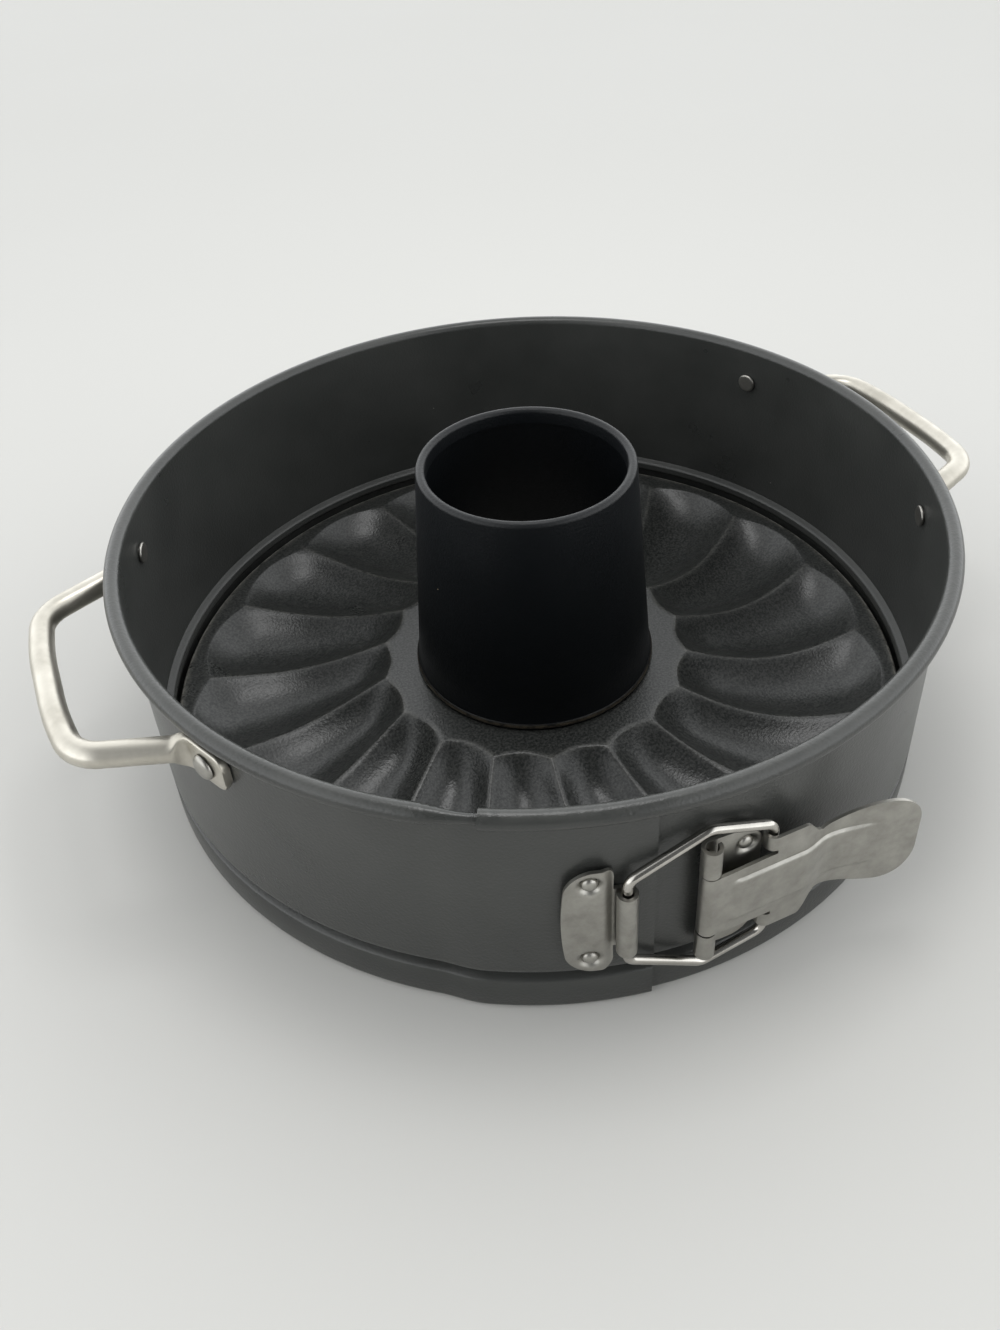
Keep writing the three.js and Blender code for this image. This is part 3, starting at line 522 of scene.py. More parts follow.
@dataclass(frozen=True)
class PaperFloor(Finish):
    """Matt paper under the pan: pale grey, with hardly any tone of its own."""

    cloud_size: float = 420.0

    def surface(self, tree: Any, place: Any) -> dict[str, Any]:
        """Wide faint clouds."""
        cloud = add_node(tree, "TexNoise", {
            "Vector": place, "Scale": per_metre(self.cloud_size), "Detail": 2.0})
        return {"Base Color": self.tone(tree, cloud), "Roughness": 0.75, "Specular IOR Level": 0.2}


FINISHES = {
    # The coat's rubbed grey stands for bare steel and, on the base's rim corner, also for a painted highlight.
    Slot.COAT: NonStickCoat("non_stick_coat_satin", "#1a1c1b", "#414240", "#8d8b84", 0.31, 1.5),
    Slot.TUBE_COAT: NonStickCoat("non_stick_coat_black", "#07090b", "#0d1013", "#a3947a", 0.42, 1.4),
    Slot.PLATED: PlatedSheet("tin_plated_steel_dull", "#94928c", "#aeaca6", 0.38),
    Slot.BRIGHT_WIRE: PlatedWire("nickel_wire_polished", "#c9c6c0", "#aeaba5", 0.15),
    Slot.SATIN_WIRE: PlatedWire("nickel_wire_satin", "#cbc7bd", "#b0aca2", 0.30),
}


@dataclass
class Workshop:
    """Puts solids into the scene as finished pieces."""

    materials: dict[Slot, Any]

    def place(
        self,
        name: str,
        solid: Solid,
        body: Body,
        node: str,
        slot: Slot,
        crease: float = 40.0,
        edge: float = 0.0,
    ) -> Any:
        """Makes a piece from a solid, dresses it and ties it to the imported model.

        Args:
            name: The piece's name.
            solid: The piece's shape.
            body: The body it moves with.
            node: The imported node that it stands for.
            slot: Its material slot.
            crease: Faces that meet at more than this angle in degrees keep a hard edge.
            edge: Width of the rounding of hard edges, or 0 for none.

        Returns:
            The piece.
        """
        mesh = bpy.data.meshes.new(name)
        faces = solid.quads.tolist() + solid.triangles.tolist()
        mesh.from_pydata((solid.points * MM).tolist(), [], faces)
        mesh.polygons.foreach_set("use_smooth", np.ones(len(faces), bool))
        mesh.set_sharp_from_angle(angle=np.radians(crease))
        for mark, values in solid.marks.items():
            layer = mesh.attributes.new(mark, "FLOAT", "POINT")
            layer.data.foreach_set("value", values.astype(np.float32))
        mesh.materials.append(self.materials[slot])
        mesh.update()
        piece = put(name, mesh)
        if edge > 0.0:
            bevel = piece.modifiers.new("edge", "BEVEL")
            bevel.width = edge * MM
            bevel.segments = 2
            bevel.limit_method = "ANGLE"
            bevel.angle_limit = np.radians(crease)
        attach(piece, body.value)
        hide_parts(node)
        LOG.info("%s: %d faces, rides on %s", name, len(faces), body.value)
        return piece


@dataclass
class RingBand:
    """The sprung ring: one strip with a bead, a groove and a hem, whose outer end laps over an inner tongue."""

    gauge: float = 0.6
    inside: float = 114.5
    height: float = 71.6
    bead: float = 2.25
    groove_height: float = 12.7
    groove_half_width: float = 2.3
    groove_depth: float = 2.3
    hem_depth: float = 5.6
    hem_bend: float = 1.5
    tongue_end: float = -120.3
    outer_end: float = -101.6
    notch_end: float = -104.0
    lap_gap: float = 0.55
    lap_ramp: float = 7.0
    tongue_strip: float = 13.5
    hem_trim: float = 1.2
    sleeve_swell: float = 0.1
    sleeve_start: float = -90.0
    sleeve_end: float = -76.0
    sleeve_turn: float = 255.0
    bead_turn: float = 300.0
    groove_flank: float = 0.62
    groove_margin: float = 1.0
    strip_margin: float = 4.0
    bead_wear: float = 0.05
    bead_wear_depth: float = 1.4
    hem_points: int = 4
    bend_points: int = 9
    groove_points: int = 25
    climb_points: int = 6
    bead_points: int = 33

    @property
    def outside(self) -> float:
        """The wall's outer radius."""
        return self.inside + self.gauge

    @property
    def lap_shift(self) -> float:
        """How far the outer end stands out over the tongue."""
        return self.gauge + self.lap_gap

    def along_wall(self, length: Array | float) -> Array:
        """The angle in degrees of a length along the wall."""
        return np.degrees(length / self.outside)

    def section(self, angle: Array) -> Array:
        """The strip's middle line at each angle, from the hem's edge up to the bead's edge.

        A flat hem, a quarter bend, a wall with a groove eased in and out, and a bead that is an arc about a
        centre outside the wall. Towards the seam the wall steps out over the tongue, the lapped bead shrinks
        and the tongue's bead grows into an open sleeve.

        Args:
            angle: Angles in degrees, from the tongue's end to the outer end, one turn further.

        Returns:
            Radii and heights of shape (angles, columns, 2).
        """
        lap_start = 360.0 + self.tongue_end
        lapped = smooth((angle - (lap_start - self.lap_ramp)) / (self.lap_ramp - 1.0))
        sleeve = 1.0 - smooth((angle - self.sleeve_start) / (self.sleeve_end - self.sleeve_start))
        sleeve_bead = self.bead + self.sleeve_swell
        bead = mix(mix(self.bead, sleeve_bead, sleeve), sleeve_bead - self.lap_shift, lapped)
        opening = mix(self.bead_turn, self.sleeve_turn, sleeve)[:, None]
        wall = (self.inside + self.gauge / 2.0 + self.lap_shift * lapped)[:, None]
        level = self.gauge / 2.0
        hem = pair(wall - np.linspace(self.hem_depth, self.hem_bend, self.hem_points + 1)[:-1], level)
        turn = np.radians(np.linspace(-90.0, 0.0, self.bend_points))
        bend = pair(wall + self.hem_bend * (np.cos(turn) - 1.0), level + self.hem_bend * (1.0 + np.sin(turn)))
        share = np.linspace(-1.0, 1.0, self.groove_points)
        pressed = self.groove_depth * smooth((1.0 - np.abs(share)) / self.groove_flank)
        groove = pair(wall - pressed, self.groove_height + share * self.groove_half_width)
        low = self.groove_height + self.groove_half_width + self.groove_margin
        top = self.height - self.tongue_strip
        climb = np.linspace(low, top - self.strip_margin, self.climb_points)
        straight = pair(wall, np.append(climb, top))
        middle = (bead - self.gauge / 2.0)[:, None]
        curl = np.radians(180.0 - opening * np.linspace(0.0, 1.0, self.bead_points))
        curled = pair(wall + middle * (1.0 + np.cos(curl)), self.height - self.bead + middle * np.sin(curl))
        return np.concatenate([hem, bend, groove, straight, curled], axis=1)

    def solid(self) -> Solid:
        """The strip swept round the axis, cut away at the tongue's notch, and hemless at the outer end."""
        hem_end = 360.0 + self.notch_end - self.hem_trim
        angle = np.concatenate([
            np.linspace(self.tongue_end, self.notch_end, 28)[:-1],
            np.linspace(self.notch_end, hem_end, 460),
            np.linspace(hem_end, 360.0 + self.outer_end, 8)[1:],
        ])
        line = self.section(angle)
        columns = np.arange(line.shape[1])[None, :]
        half_bend = self.hem_points + self.bend_points // 2
        wall_columns = self.hem_points + self.bend_points + self.groove_points + self.climb_points
        notch = (angle[:, None] < self.notch_end - 1e-6) & (columns < wall_columns)
        trimmed = (angle[:, None] > hem_end + 1e-6) & (columns < half_bend)
        grid = polar(line[..., 0], angle[:, None], line[..., 1])
        curl = np.clip(1.0 - (self.height - line[..., 1]) / self.bead_wear_depth, 0.0, 1.0)
        return sheet(grid, self.gauge, keep=~(notch | trimmed), marks={"wear_and_highlight": self.bead_wear * curl})

    def build(self, shop: Workshop) -> None:
        """Puts the ring into the scene."""
        shop.place("ring_strip", self.solid(), Body.RING, "ring_band", Slot.COAT, crease=50.0)


@dataclass
class FlutedBase:
    """The loose base: flat round the tube, swirled flutes, a flat outer land and a turned-down rim."""

    gauge: float = 0.6
    hole: float = 36.6
    rim: float = 111.9
    flutes: int = 18
    swirl: float = 8.5
    phase: float = -9.6
    inner: float = 47.8
    outer: float = 103.4
    inner_scallop: float = 2.4
    outer_scallop: float = 4.0
    scoop: float = 0.2
    ridge_sag: float = 5.6
    hollow_depth: float = 4.2
    inner_level: float = 12.7
    outer_level: float = 9.6
    corner: float = 0.9
    foot: float = 0.9
    ridge_round: float = 0.07
    ridge_wear: float = 0.12
    ridge_wear_width: float = 0.5
    lip_wear_width: float = 0.6
    # A light grey band round the rim's corner, in the groove's shade: partly rubbed steel, partly a painted
    # highlight.
    brim_wear_and_highlight: float = 0.8
    brim_middle: float = 0.6
    brim_width: float = 0.36
    flute_steps: int = 20
    length_points: int = 45

    def level(self, length: Array, width: Array) -> Array:
        """Height of the flutes.

        The run falls evenly from the inner to the outer level. A half sine along the flute, times the ridge's
        sag, lowers ridge and trough alike. A parabola across the flute, rounded off at the ridges, hollows the
        trough; at the flute's ends it comes in by 1 - (1 - t)^2, where t is the share of the scooped end that
        is behind.

        Args:
            length: Share of the flute's length.
            width: Share of the flute's width.

        Returns:
            Heights over the standing surface.
        """
        run = mix(self.inner_level, self.outer_level, length)
        bowl = np.sin(np.pi * np.clip(length, 0.0, 1.0))
        slope = 1.0 - np.abs(2.0 * width - 1.0)
        soft = np.hypot(slope, self.ridge_round) - self.ridge_round
        soft = soft / (np.hypot(1.0, self.ridge_round) - self.ridge_round)
        hollow = soft * (2.0 - soft)
        ends = np.clip(np.stack([length, 1.0 - length]) / self.scoop, 0.0, 1.0)
        scooped = (1.0 - (1.0 - ends) ** 2).prod(axis=0)
        return run - self.ridge_sag * bowl - self.hollow_depth * hollow * scooped

    def solid(self) -> Solid:
        """The pressed disc: one row of points per step round the axis, denser at the ridges and at the lips."""
        steps = self.flute_steps
        across = 0.5 - 0.5 * np.cos(np.pi * np.arange(steps) / steps)
        width = np.tile(across, self.flutes)[:, None]
        flute = np.repeat(np.arange(self.flutes), steps)[:, None]
        angle = self.phase + (flute + width) * 360.0 / self.flutes
        bulge = np.sin(np.pi * width)
        start, end = self.inner - self.inner_scallop * bulge, self.outer + self.outer_scallop * bulge
        share = (0.5 - 0.5 * np.cos(np.pi * np.linspace(0.0, 1.0, self.length_points)))[None, :]
        half = self.gauge / 2.0
        flat = mix(self.hole, start, np.linspace(0.0, 1.0, 7)[None, :-1])
        trough = mix(start, end, share)
        rim = self.rim - half
        bend = arc((rim - self.corner, self.outer_level - half - self.corner), self.corner, 90.0, 0.0, 6)
        land = mix(end, bend[0, 0], np.linspace(0.0, 1.0, 5)[None, 1:-1])
        edge = np.concatenate([bend, [[rim, self.foot]]])[None]
        edge = np.broadcast_to(edge, (width.shape[0], *edge.shape[1:]))
        radius = np.concatenate([flat, trough, land, edge[..., 0]], axis=1)
        height = np.concatenate([
            np.full_like(flat, self.inner_level) - half,
            self.level(share, width) - half,
            np.full_like(land, self.outer_level) - half,
            edge[..., 1],
        ], axis=1)
        turned = angle + self.swirl * np.clip((radius - self.inner) / (self.outer - self.inner), 0.0, 1.0)
        off_ridge = np.minimum(width, 1.0 - width) * radius * 2.0 * np.pi / self.flutes
        inside = (radius >= start - 1e-6) & (radius <= end + 1e-6)
        ridge = np.where(inside, np.exp(-((off_ridge / self.ridge_wear_width) ** 2)), 0.0)
        lip = np.exp(-(((radius - start) / self.lip_wear_width) ** 2))
        # The rim corner band paints rubbed steel together with a highlight on the corner that the ring's groove
        # shades.
        brim_rub_and_highlight = np.exp(-(((rim - radius) / self.corner - self.brim_middle) / self.brim_width) ** 2)
        wear_and_highlight = np.clip(self.ridge_wear * (ridge + lip) + self.brim_wear_and_highlight * brim_rub_and_highlight, 0.0, 1.0)
        marks = {"wear_and_highlight": wear_and_highlight, "grain": np.ones_like(wear_and_highlight)}
        return sheet(polar(radius, turned, height), self.gauge, wrap=True, marks=marks)

    def build(self, shop: Workshop) -> None:
        """Puts the base into the scene."""
        shop.place("flute_plate", self.solid(), Body.BASE, "fluted_base", Slot.COAT, crease=60.0)


@dataclass
class CentreTube:
    """The tube: hemmed inward at the top, beaded above the base and flanged below it."""

    gauge: float = 0.6
    top: float = 82.6
    top_radius: float = 31.5
    foot_radius: float = 36.3
    hem: float = 1.4
    hem_leg: float = 3.4
    bead: float = 0.8
    flange: float = 3.2
    seat: float = 12.7
    gap: float = 0.3
    foot_wear: float = 0.24
    foot_wear_width: float = 0.4

    def solid(self) -> Solid:
        """A line from the flange up over the bead and the wall to the hem, turned about the axis."""
        half = self.gauge / 2.0
        hem = self.hem - half
        foot, head = self.foot_radius - half, self.top_radius - half
        under = self.seat - self.gauge - self.gap - half
        hem_centre = (head - hem, self.top - self.hem)
        bead_centre = (foot, self.seat + self.gap + half + self.bead)
        bead = arc(bead_centre, self.bead, -70.0, 70.0, 10)
        wall = np.linspace([foot, bead_centre[1] + 2.0 * self.bead], [head, hem_centre[1]], 14)[:-1]
        line = np.concatenate([
            np.linspace([foot + self.flange, under], [foot, under], 4),
            bead,
            wall,
            arc(hem_centre, hem, 0.0, 180.0, 14),
            [[hem_centre[0] - hem, hem_centre[1] - self.hem_leg]],
        ])
        angle = np.linspace(0.0, 360.0, 160, endpoint=False)[:, None]
        grid = polar(line[None, :, 0], angle, line[None, :, 1])
        off_bead = (line[:, 1] - bead_centre[1]) / self.foot_wear_width
        rubbed = self.foot_wear * np.exp(-(off_bead ** 2)) * (line[:, 0] > foot + half)
        wear_and_highlight = np.broadcast_to(rubbed[None, :], grid.shape[:2])
        return sheet(grid, self.gauge, wrap=True, marks={"wear_and_highlight": wear_and_highlight})

    def build(self, shop: Workshop) -> None:
        """Puts the tube into the scene."""
        shop.place("tube_wall", self.solid(), Body.BASE, "centre_tube", Slot.TUBE_COAT, crease=60.0)


@dataclass(frozen=True)
class Rivet:
    """A rivet's sizes: shank, domed head, flat tail."""

    shank: float
    head: float
    crown: float
    tail: float
    tail_height: float
    flat_share: float = 0.6
    seat_share: float = 0.98
    dome_power: float = 0.8

    def solid(self, angle: float, height: float, outside: float, inside: float) -> Solid:
        """The rivet through the wall: its profile turned about a radial axis.

        The head is a low dome with a rounded edge, the tail a disc with a rounded edge.

        Args:
            angle: Degrees about the pan's axis.
            height: Height over the standing surface.
            outside: Radius of the seat under the head.
            inside: Radius of the seat under the tail.

        Returns:
            The rivet as a closed solid.
        """
        soft = self.tail_height / 2.0
        rise = np.radians(np.linspace(0.0, 88.0, 12))
        dome = pair(self.head * np.cos(rise) ** self.dome_power, outside + self.crown * np.sin(rise))
        low = inside - self.tail_height
        profile = np.concatenate([
            [[POLE, low], [self.tail * self.flat_share, low]],
            arc((self.tail - soft, inside - soft), soft, -90.0, 90.0, 6),
            [[self.shank, inside], [self.shank, outside], [self.head * self.seat_share, outside]],
            dome,
        ])
        return spin(profile, height * UP, polar(1.0, angle + 90.0, 0.0), UP)


@dataclass
class WireHandles:
    """Two bent wire handles with flattened ends, each riveted to the ring twice."""

    ring: RingBand
    wire: float = 6.6
    level: float = 58.5
    standoff: float = 22.02
    turn: float = 1.2
    bow: float = 2.2
    half_width: float = 29.2
    grip_turn: float = 13.0
    grip_round: float = 110.0
    leg_splay: float = 22.0
    corner: float = 11.0
    foot_bend: float = 7.0
    tab_thickness: float = 2.2
    tab_height: float = 10.4
    tab_rivet_run: float = 4.6
    tab_tip_run: float = 6.8
    tab_taper: float = 3.0
    tab_corner: float = 3.2
    tab_trim: float = 0.8
    tab_squareness: float = 6.0
    seat_gap: float = 0.3
    rivet: Rivet = Rivet(2.0, 3.4, 1.5, 3.1, 0.9)

    @property
    def tab_radius(self) -> float:
        """Radius of the tabs' middle."""
        return self.ring.outside + self.seat_gap + self.tab_thickness / 2.0

    def bend(self) -> Array:
        """Half a handle in plan, from the middle of its grip to where its leg lies down on the wall."""
        reach = self.ring.outside + self.standoff
        splay = np.radians(self.leg_splay)
        corner = np.array([reach - self.bow, self.half_width])
        leg = np.array([-np.cos(splay), np.sin(splay)])
        along = corner @ leg
        length = -along - np.sqrt(along ** 2 - corner @ corner + self.tab_radius ** 2)
        foot = corner + leg * length
        tangent = np.array([-foot[1], foot[0]]) / np.linalg.norm(foot)
        landing = foot + tangent * self.foot_bend
        corners = np.array([[reach, 0.0], [reach, self.grip_turn], corner, foot, landing])
        return round_corners(corners, np.array([self.grip_round, self.corner, self.foot_bend]), 14)[:-1]

    def rivet_angle(self) -> float:
        """Angle of a tab's rivet from the handle's middle."""
        last = self.bend()[-1]
        return float(np.degrees(np.arctan2(last[1], last[0])) + self.ring.along_wall(self.tab_rivet_run))

    def solid(self, turn: float) -> Solid:
        """One handle: a round section along the wire that flattens where it comes down on the wall.

        Args:
            turn: Angle of the handle's middle in degrees.

        Returns:
            The handle as a closed solid.
        """
        bend = self.bend()
        start = np.degrees(np.arctan2(bend[-1, 1], bend[-1, 0]))
        tip = self.rivet_angle() + self.ring.along_wall(self.tab_tip_run)
        tab = arc((0.0, 0.0), self.tab_radius, start, tip, 20)[1:]
        half = even(np.concatenate([bend, tab]), 0.8)
        plan = np.concatenate([(half * [1.0, -1.0])[:0:-1], half])
        cos, sin = np.cos(np.radians(turn)), np.sin(np.radians(turn))
        path = np.stack([plan[:, 0] * cos - plan[:, 1] * sin, plan[:, 0] * sin + plan[:, 1] * cos,
                         np.full(len(plan), self.level)], axis=-1)
        flat = 1.0 - smooth((np.hypot(plan[:, 0], plan[:, 1]) - self.tab_radius) / self.tab_taper)
        run = np.concatenate([[0.0], np.cumsum(np.linalg.norm(np.diff(path, axis=0), axis=1))])
        to_end = np.minimum(run, run[-1] - run)
        into = np.clip(self.tab_corner - to_end, 0.0, self.tab_corner)
        trim = self.tab_corner - np.sqrt(self.tab_corner ** 2 - into ** 2)
        height = mix(self.wire, self.tab_height, flat) / 2.0 - trim * self.tab_trim
        width = mix(self.wire, self.tab_thickness, flat) / 2.0
        return sweep(path, UP, bar_section(width, height, mix(2.0, self.tab_squareness, flat), 28))

    def build(self, shop: Workshop) -> None:
        """Puts both handles and their rivets into the scene."""
        out = self.ring.outside + 2.0 * self.seat_gap + self.tab_thickness
        inner = self.ring.inside - self.seat_gap
        for name, turn in (("right", -self.turn), ("left", 180.0 + self.turn)):
            shop.place(f"handle_wire_{name}", self.solid(turn), Body.RING, f"{name}_handle", Slot.SATIN_WIRE)
            for end, sign in (("front", -1.0), ("rear", 1.0)):
                side = sign if name == "right" else -sign
                stud = self.rivet.solid(turn + side * self.rivet_angle(), self.level, out, inner)
                node = f"{name}_handle_rivet_{end}"
                shop.place(f"handle_stud_{name}_{end}", stud, Body.RING, node, Slot.PLATED)


@dataclass
class PlatePlan:
    """What sets one latch plate apart from the other."""

    angle: float
    side: float
    width: float
    half_height: float
    arch: float
    shoulder_corner: float
    radius: float
    rise_start: float
    rivet_offset: float
    middle_edge: float
    axis: Array
    curl: float
    barrel_in_middle: bool


@dataclass
class Latch:
    """The over-centre latch: hook plate, hinge plate, pin, lever and bail, with the plates' rivets."""

    ring: RingBand
    level: float = 35.0
    plate: float = 0.9
    plate_rise: float = 1.05
    plate_corner: float = 6.5
    plate_bend: float = 2.6
    plate_roll: float = 285.0
    hook_angle: float = -105.2
    hook_width: float = 14.4
    hook_half_height: float = 17.6
    hook_shoulder: float = 3.0
    hook_arch: float = 1.6
    hook_barrel: float = 20.4
    hinge_angle: float = -96.0
    hinge_width: float = 13.5
    hinge_half_height: float = 18.8
    pin_radius: float = 1.3
    pin_recess: float = 2.5
    pin_round: float = 0.4
    lever: float = 0.8
    lever_barrel: float = 20.0
    lever_roll_start: float = -40.0
    lever_lean: float = -0.5
    lever_length: float = 54.6
    lever_half_height: float = 10.4
    lever_neck: float = 28.5
    lever_neck_end: float = 31.5
    lever_neck_dip: float = 1.6
    tip_half_height: float = 13.6
    tip_start: float = 45.6
    tip_corner: float = 9.0
    tip_flare: float = 4.18
    panel_half_height: float = 6.2
    panel_rise: float = 0.65
    panel_edge: float = 0.9
    panel_start: float = 3.0
    panel_end: float = 8.0
    ear_reach: float = 16.0
    ear_straight: float = 23.5
    ear_half_height: float = 15.7
    ear_slit: float = 0.2
    ear_roll: float = 180.0
    bail_wire: float = 2.4
    bail_bend: float = 3.2
    bail_upper: float = 22.8
    bail_lower: float = 24.8
    bail_share: float = 0.55
    bail_upper_end: float = 17.9
    bail_lower_end: float = 19.4
    bail_neck: float = 14.0
    rivet: Rivet = Rivet(1.2, 1.9, 1.1, 2.5, 0.6)
    rivet_spread: float = 13.2
    hook_rivet: float = 8.0
    hinge_rivet: float = 9.6
    dimple_seat: float = 2.0
    dimple_slope: float = 1.3
    dimple_depth: float = 1.2
    seat_gap: float = 0.3
    wire_play: float = 0.35
    pin_play: float = 0.25
    knuckle_gap: float = 0.4

    def __post_init__(self) -> None:
        """Works out the radii of the rolled pieces and of the plates on the wall, and a point of each axis."""
        wire_bore = self.bail_wire / 2.0 + self.wire_play
        pin_bore = self.pin_radius + self.pin_play
        self.hook_curl = wire_bore + self.plate / 2.0
        self.ear_curl = wire_bore + self.lever / 2.0
        self.hinge_curl = pin_bore + self.plate / 2.0
        self.lever_curl = pin_bore + self.lever / 2.0
        self.hinge_radius = self.ring.outside + self.seat_gap + self.plate / 2.0
        self.hook_radius = self.hinge_radius + self.ring.lap_shift
        pin_place = self.hinge_radius + self.plate_rise + self.hinge_curl
        self.hook_axis = polar(self.hook_radius + self.hook_curl, self.hook_angle, self.level)
        self.hinge_axis = polar(pin_place, self.hinge_angle, self.level)
        self.ear_axis = self.lever_place(np.array([self.ear_reach, self.ear_curl - self.lever_curl, 0.0]))

    def lever_place(self, points: Array) -> Array:
        """Points given along, out from and up the lever, turned by its lean and moved to the hinge."""
        lean = np.radians(self.lever_lean)
        x = points[..., 0] * np.cos(lean) - points[..., 1] * np.sin(lean)
        y = points[..., 0] * np.sin(lean) + points[..., 1] * np.cos(lean)
        return np.stack([x, y, points[..., 2]], axis=-1) + self.hinge_axis

    def dimple(self, along: Array, up: Array) -> Array:
        """How far a plate is pressed inward: flat under a rivet's head, then eased out to nothing."""
        away = np.hypot(along, np.abs(up) - self.rivet_spread) - self.dimple_seat
        return self.dimple_depth * (1.0 - smooth(away / self.dimple_slope))

    def rounded(self, half_height: Array | float, corner: float, distance: Array) -> Array:
        """Half height of a plate with rounded corners, at a distance from its end."""
        into = np.clip(corner - distance, 0.0, corner)
        return half_height - corner + np.sqrt(np.maximum(corner ** 2 - into ** 2, 0.0))

    def plate_solid(self, plan: PlatePlan) -> Solid:
        """A plate that follows the wall from its rounded end to a rolled barrel or two knuckles.

        Rows run from the end to the barrel, columns upwards; the columns between the barrel's edges and the
        plate's ends are drawn in by the rounded corners. The last rows turn about the barrel's axis, only in
        the columns that the barrel keeps.

        Args:
            plan: The plate's own sizes.

        Returns:
            The plate as a closed solid.
        """
        shoulder = plan.width - plan.curl - self.plate
        turn = np.radians(np.linspace(6.0, 90.0, 16))
        far = np.linspace(self.plate_corner, shoulder, 24)[1:]
        distance = np.concatenate([self.plate_corner * (1.0 - np.cos(turn)), far])[:, None]
        share = np.linspace(0.0, 1.0, 26)
        inner = np.linspace(-1.0, 1.0, 25)[1:-1][None, :] * plan.middle_edge
        height = np.minimum(
            self.rounded(plan.half_height, self.plate_corner, distance),
            self.rounded(plan.half_height, plan.shoulder_corner, shoulder - distance))
        above = mix(plan.middle_edge, height, share[None, :])
        inner = np.broadcast_to(inner, (len(distance), inner.shape[1]))
        up = np.concatenate([-above[:, ::-1], inner, above], axis=1)
        bow = plan.arch * (up / plan.half_height) ** 2 * (1.0 - distance / plan.width)
        along = plan.width - distance - bow
        rise = self.plate_rise * smooth((along - plan.rise_start) / self.plate_bend)
        radius = plan.radius + rise - self.dimple(along - plan.rivet_offset, up)
        flat = polar(radius, plan.angle + plan.side * self.ring.along_wall(along), self.level + up)
        roll = np.radians(np.linspace(-90.0, -90.0 - self.plate_roll, 34))[:, None, None]
        along_way = polar(plan.side, plan.angle + 90.0, 0.0)
        out_way = polar(1.0, plan.angle, 0.0)
        circle = plan.axis + plan.curl * (np.cos(roll) * along_way + np.sin(roll) * out_way)
        rolled = circle + up[-1][None, :, None] * UP
        grid = np.concatenate([flat, rolled])
        in_middle = np.abs(up[-1]) <= plan.middle_edge + 1e-6
        outside = np.abs(up[-1]) >= plan.middle_edge - 1e-6
        barrel = in_middle if plan.barrel_in_middle else outside
        keep = np.ones(grid.shape[:2], bool)
        keep[len(flat):] = barrel[None, :]
        return sheet(grid, self.plate, keep=keep)

    def hook_plan(self) -> PlatePlan:
        """The hook plate, on the outer band end: it rises off the wall behind the barrel in its middle."""
        rise_start = self.hook_curl + self.plate
        return PlatePlan(
            self.hook_angle, -1.0, self.hook_width, self.hook_half_height, self.hook_arch, self.hook_shoulder,
            self.hook_radius, rise_start, self.hook_rivet, self.hook_barrel / 2.0, self.hook_axis,
            self.hook_curl, True)

    def hinge_plan(self) -> PlatePlan:
        """The hinge plate, on the tongue: it stands off the wall all along, with a knuckle at each end."""
        rise_start = -self.plate_bend
        middle_edge = self.lever_barrel / 2.0 + self.knuckle_gap
        return PlatePlan(
            self.hinge_angle, 1.0, self.hinge_width, self.hinge_half_height, 0.0, 0.0, self.hinge_radius,
            rise_start, self.hinge_rivet, middle_edge, self.hinge_axis, self.hinge_curl, False)

    def pin_solid(self) -> Solid:
        """The pin: a cylinder with rounded ends."""
        low = -self.hinge_half_height
        high = self.hinge_half_height - self.pin_recess
        soft = self.pin_round
        lower = arc((self.pin_radius - soft, low + soft), soft, -90.0, 0.0, 4)
        upper = arc((self.pin_radius - soft, high - soft), soft, 0.0, 90.0, 4)
        profile = np.concatenate([[[POLE, low]], lower, upper, [[POLE, high]]])
        return spin(profile, self.hinge_axis, polar(1.0, 0.0, 0.0), polar(1.0, 90.0, 0.0))

    def lever_half(self, reach: Array) -> Array:
        """The lever's half height along its length, without its ears."""
        body = mix(self.lever_barrel / 2.0, self.lever_half_height, smooth(reach / self.ear_reach))
        widening = smooth((reach - self.lever_neck) / (self.tip_start - self.lever_neck))
        wide = mix(body, self.tip_half_height, widening)
        return self.rounded(wide, self.tip_corner, self.lever_length - reach)

    def lever_level(self, reach: Array) -> Array:
        """How far out the lever's sheet lies: flat, pressed in at the neck, flared at the tip."""
        dip = smooth((reach - self.ear_straight) / (self.lever_neck_end - self.ear_straight))
        flare = smooth((reach - self.lever_neck_end) / (self.lever_length - self.lever_neck_end))
        return self.lever_curl - self.lever_neck_dip * dip + self.tip_flare * flare

    def lever_solid(self) -> Solid:
        """The lever, from one blank.

        Rows run from the free edge of its rolled barrel to its tip; columns from the upper ear's edge to the
        lower. The ears' columns roll back round the bail's ends in the rows before the ears, and a slit parts
        them there from the body. A raised panel runs along the middle.

        Returns:
            The lever as a closed solid.
        """
        roll = np.radians(np.linspace(self.lever_roll_start, -270.0, 34))
        body = np.linspace(0.0, self.ear_reach - self.ear_curl, 24)[1:]
        ears = np.concatenate([
            np.linspace(self.ear_reach, self.ear_straight, 9),
            np.linspace(self.ear_straight, self.lever_neck, 14)[1:],
        ])
        widening = np.linspace(self.lever_neck, self.lever_length - self.tip_corner, 30)[1:]
        turn = np.radians(np.linspace(0.0, 87.0, 20))[1:]
        tip = self.lever_length - self.tip_corner * (1.0 - np.sin(turn))
        straight = np.concatenate([body, ears, widening, tip])
        reach = np.concatenate([self.lever_curl * np.cos(roll), straight])[:, None]
        level = np.concatenate([self.lever_curl * np.sin(roll), self.lever_level(straight)])[:, None]
        half = np.concatenate([np.full(len(roll), self.lever_barrel / 2.0), self.lever_half(straight)])[:, None]
        begin = smooth((straight - 2.0 * self.lever_curl) / self.panel_start)
        fade = begin * smooth((self.tip_start - straight) / self.panel_end)
        panel = np.concatenate([np.zeros(len(roll)), self.panel_rise * fade])[:, None]
        middle = np.minimum(self.panel_half_height, half - 2.0 * self.panel_edge)
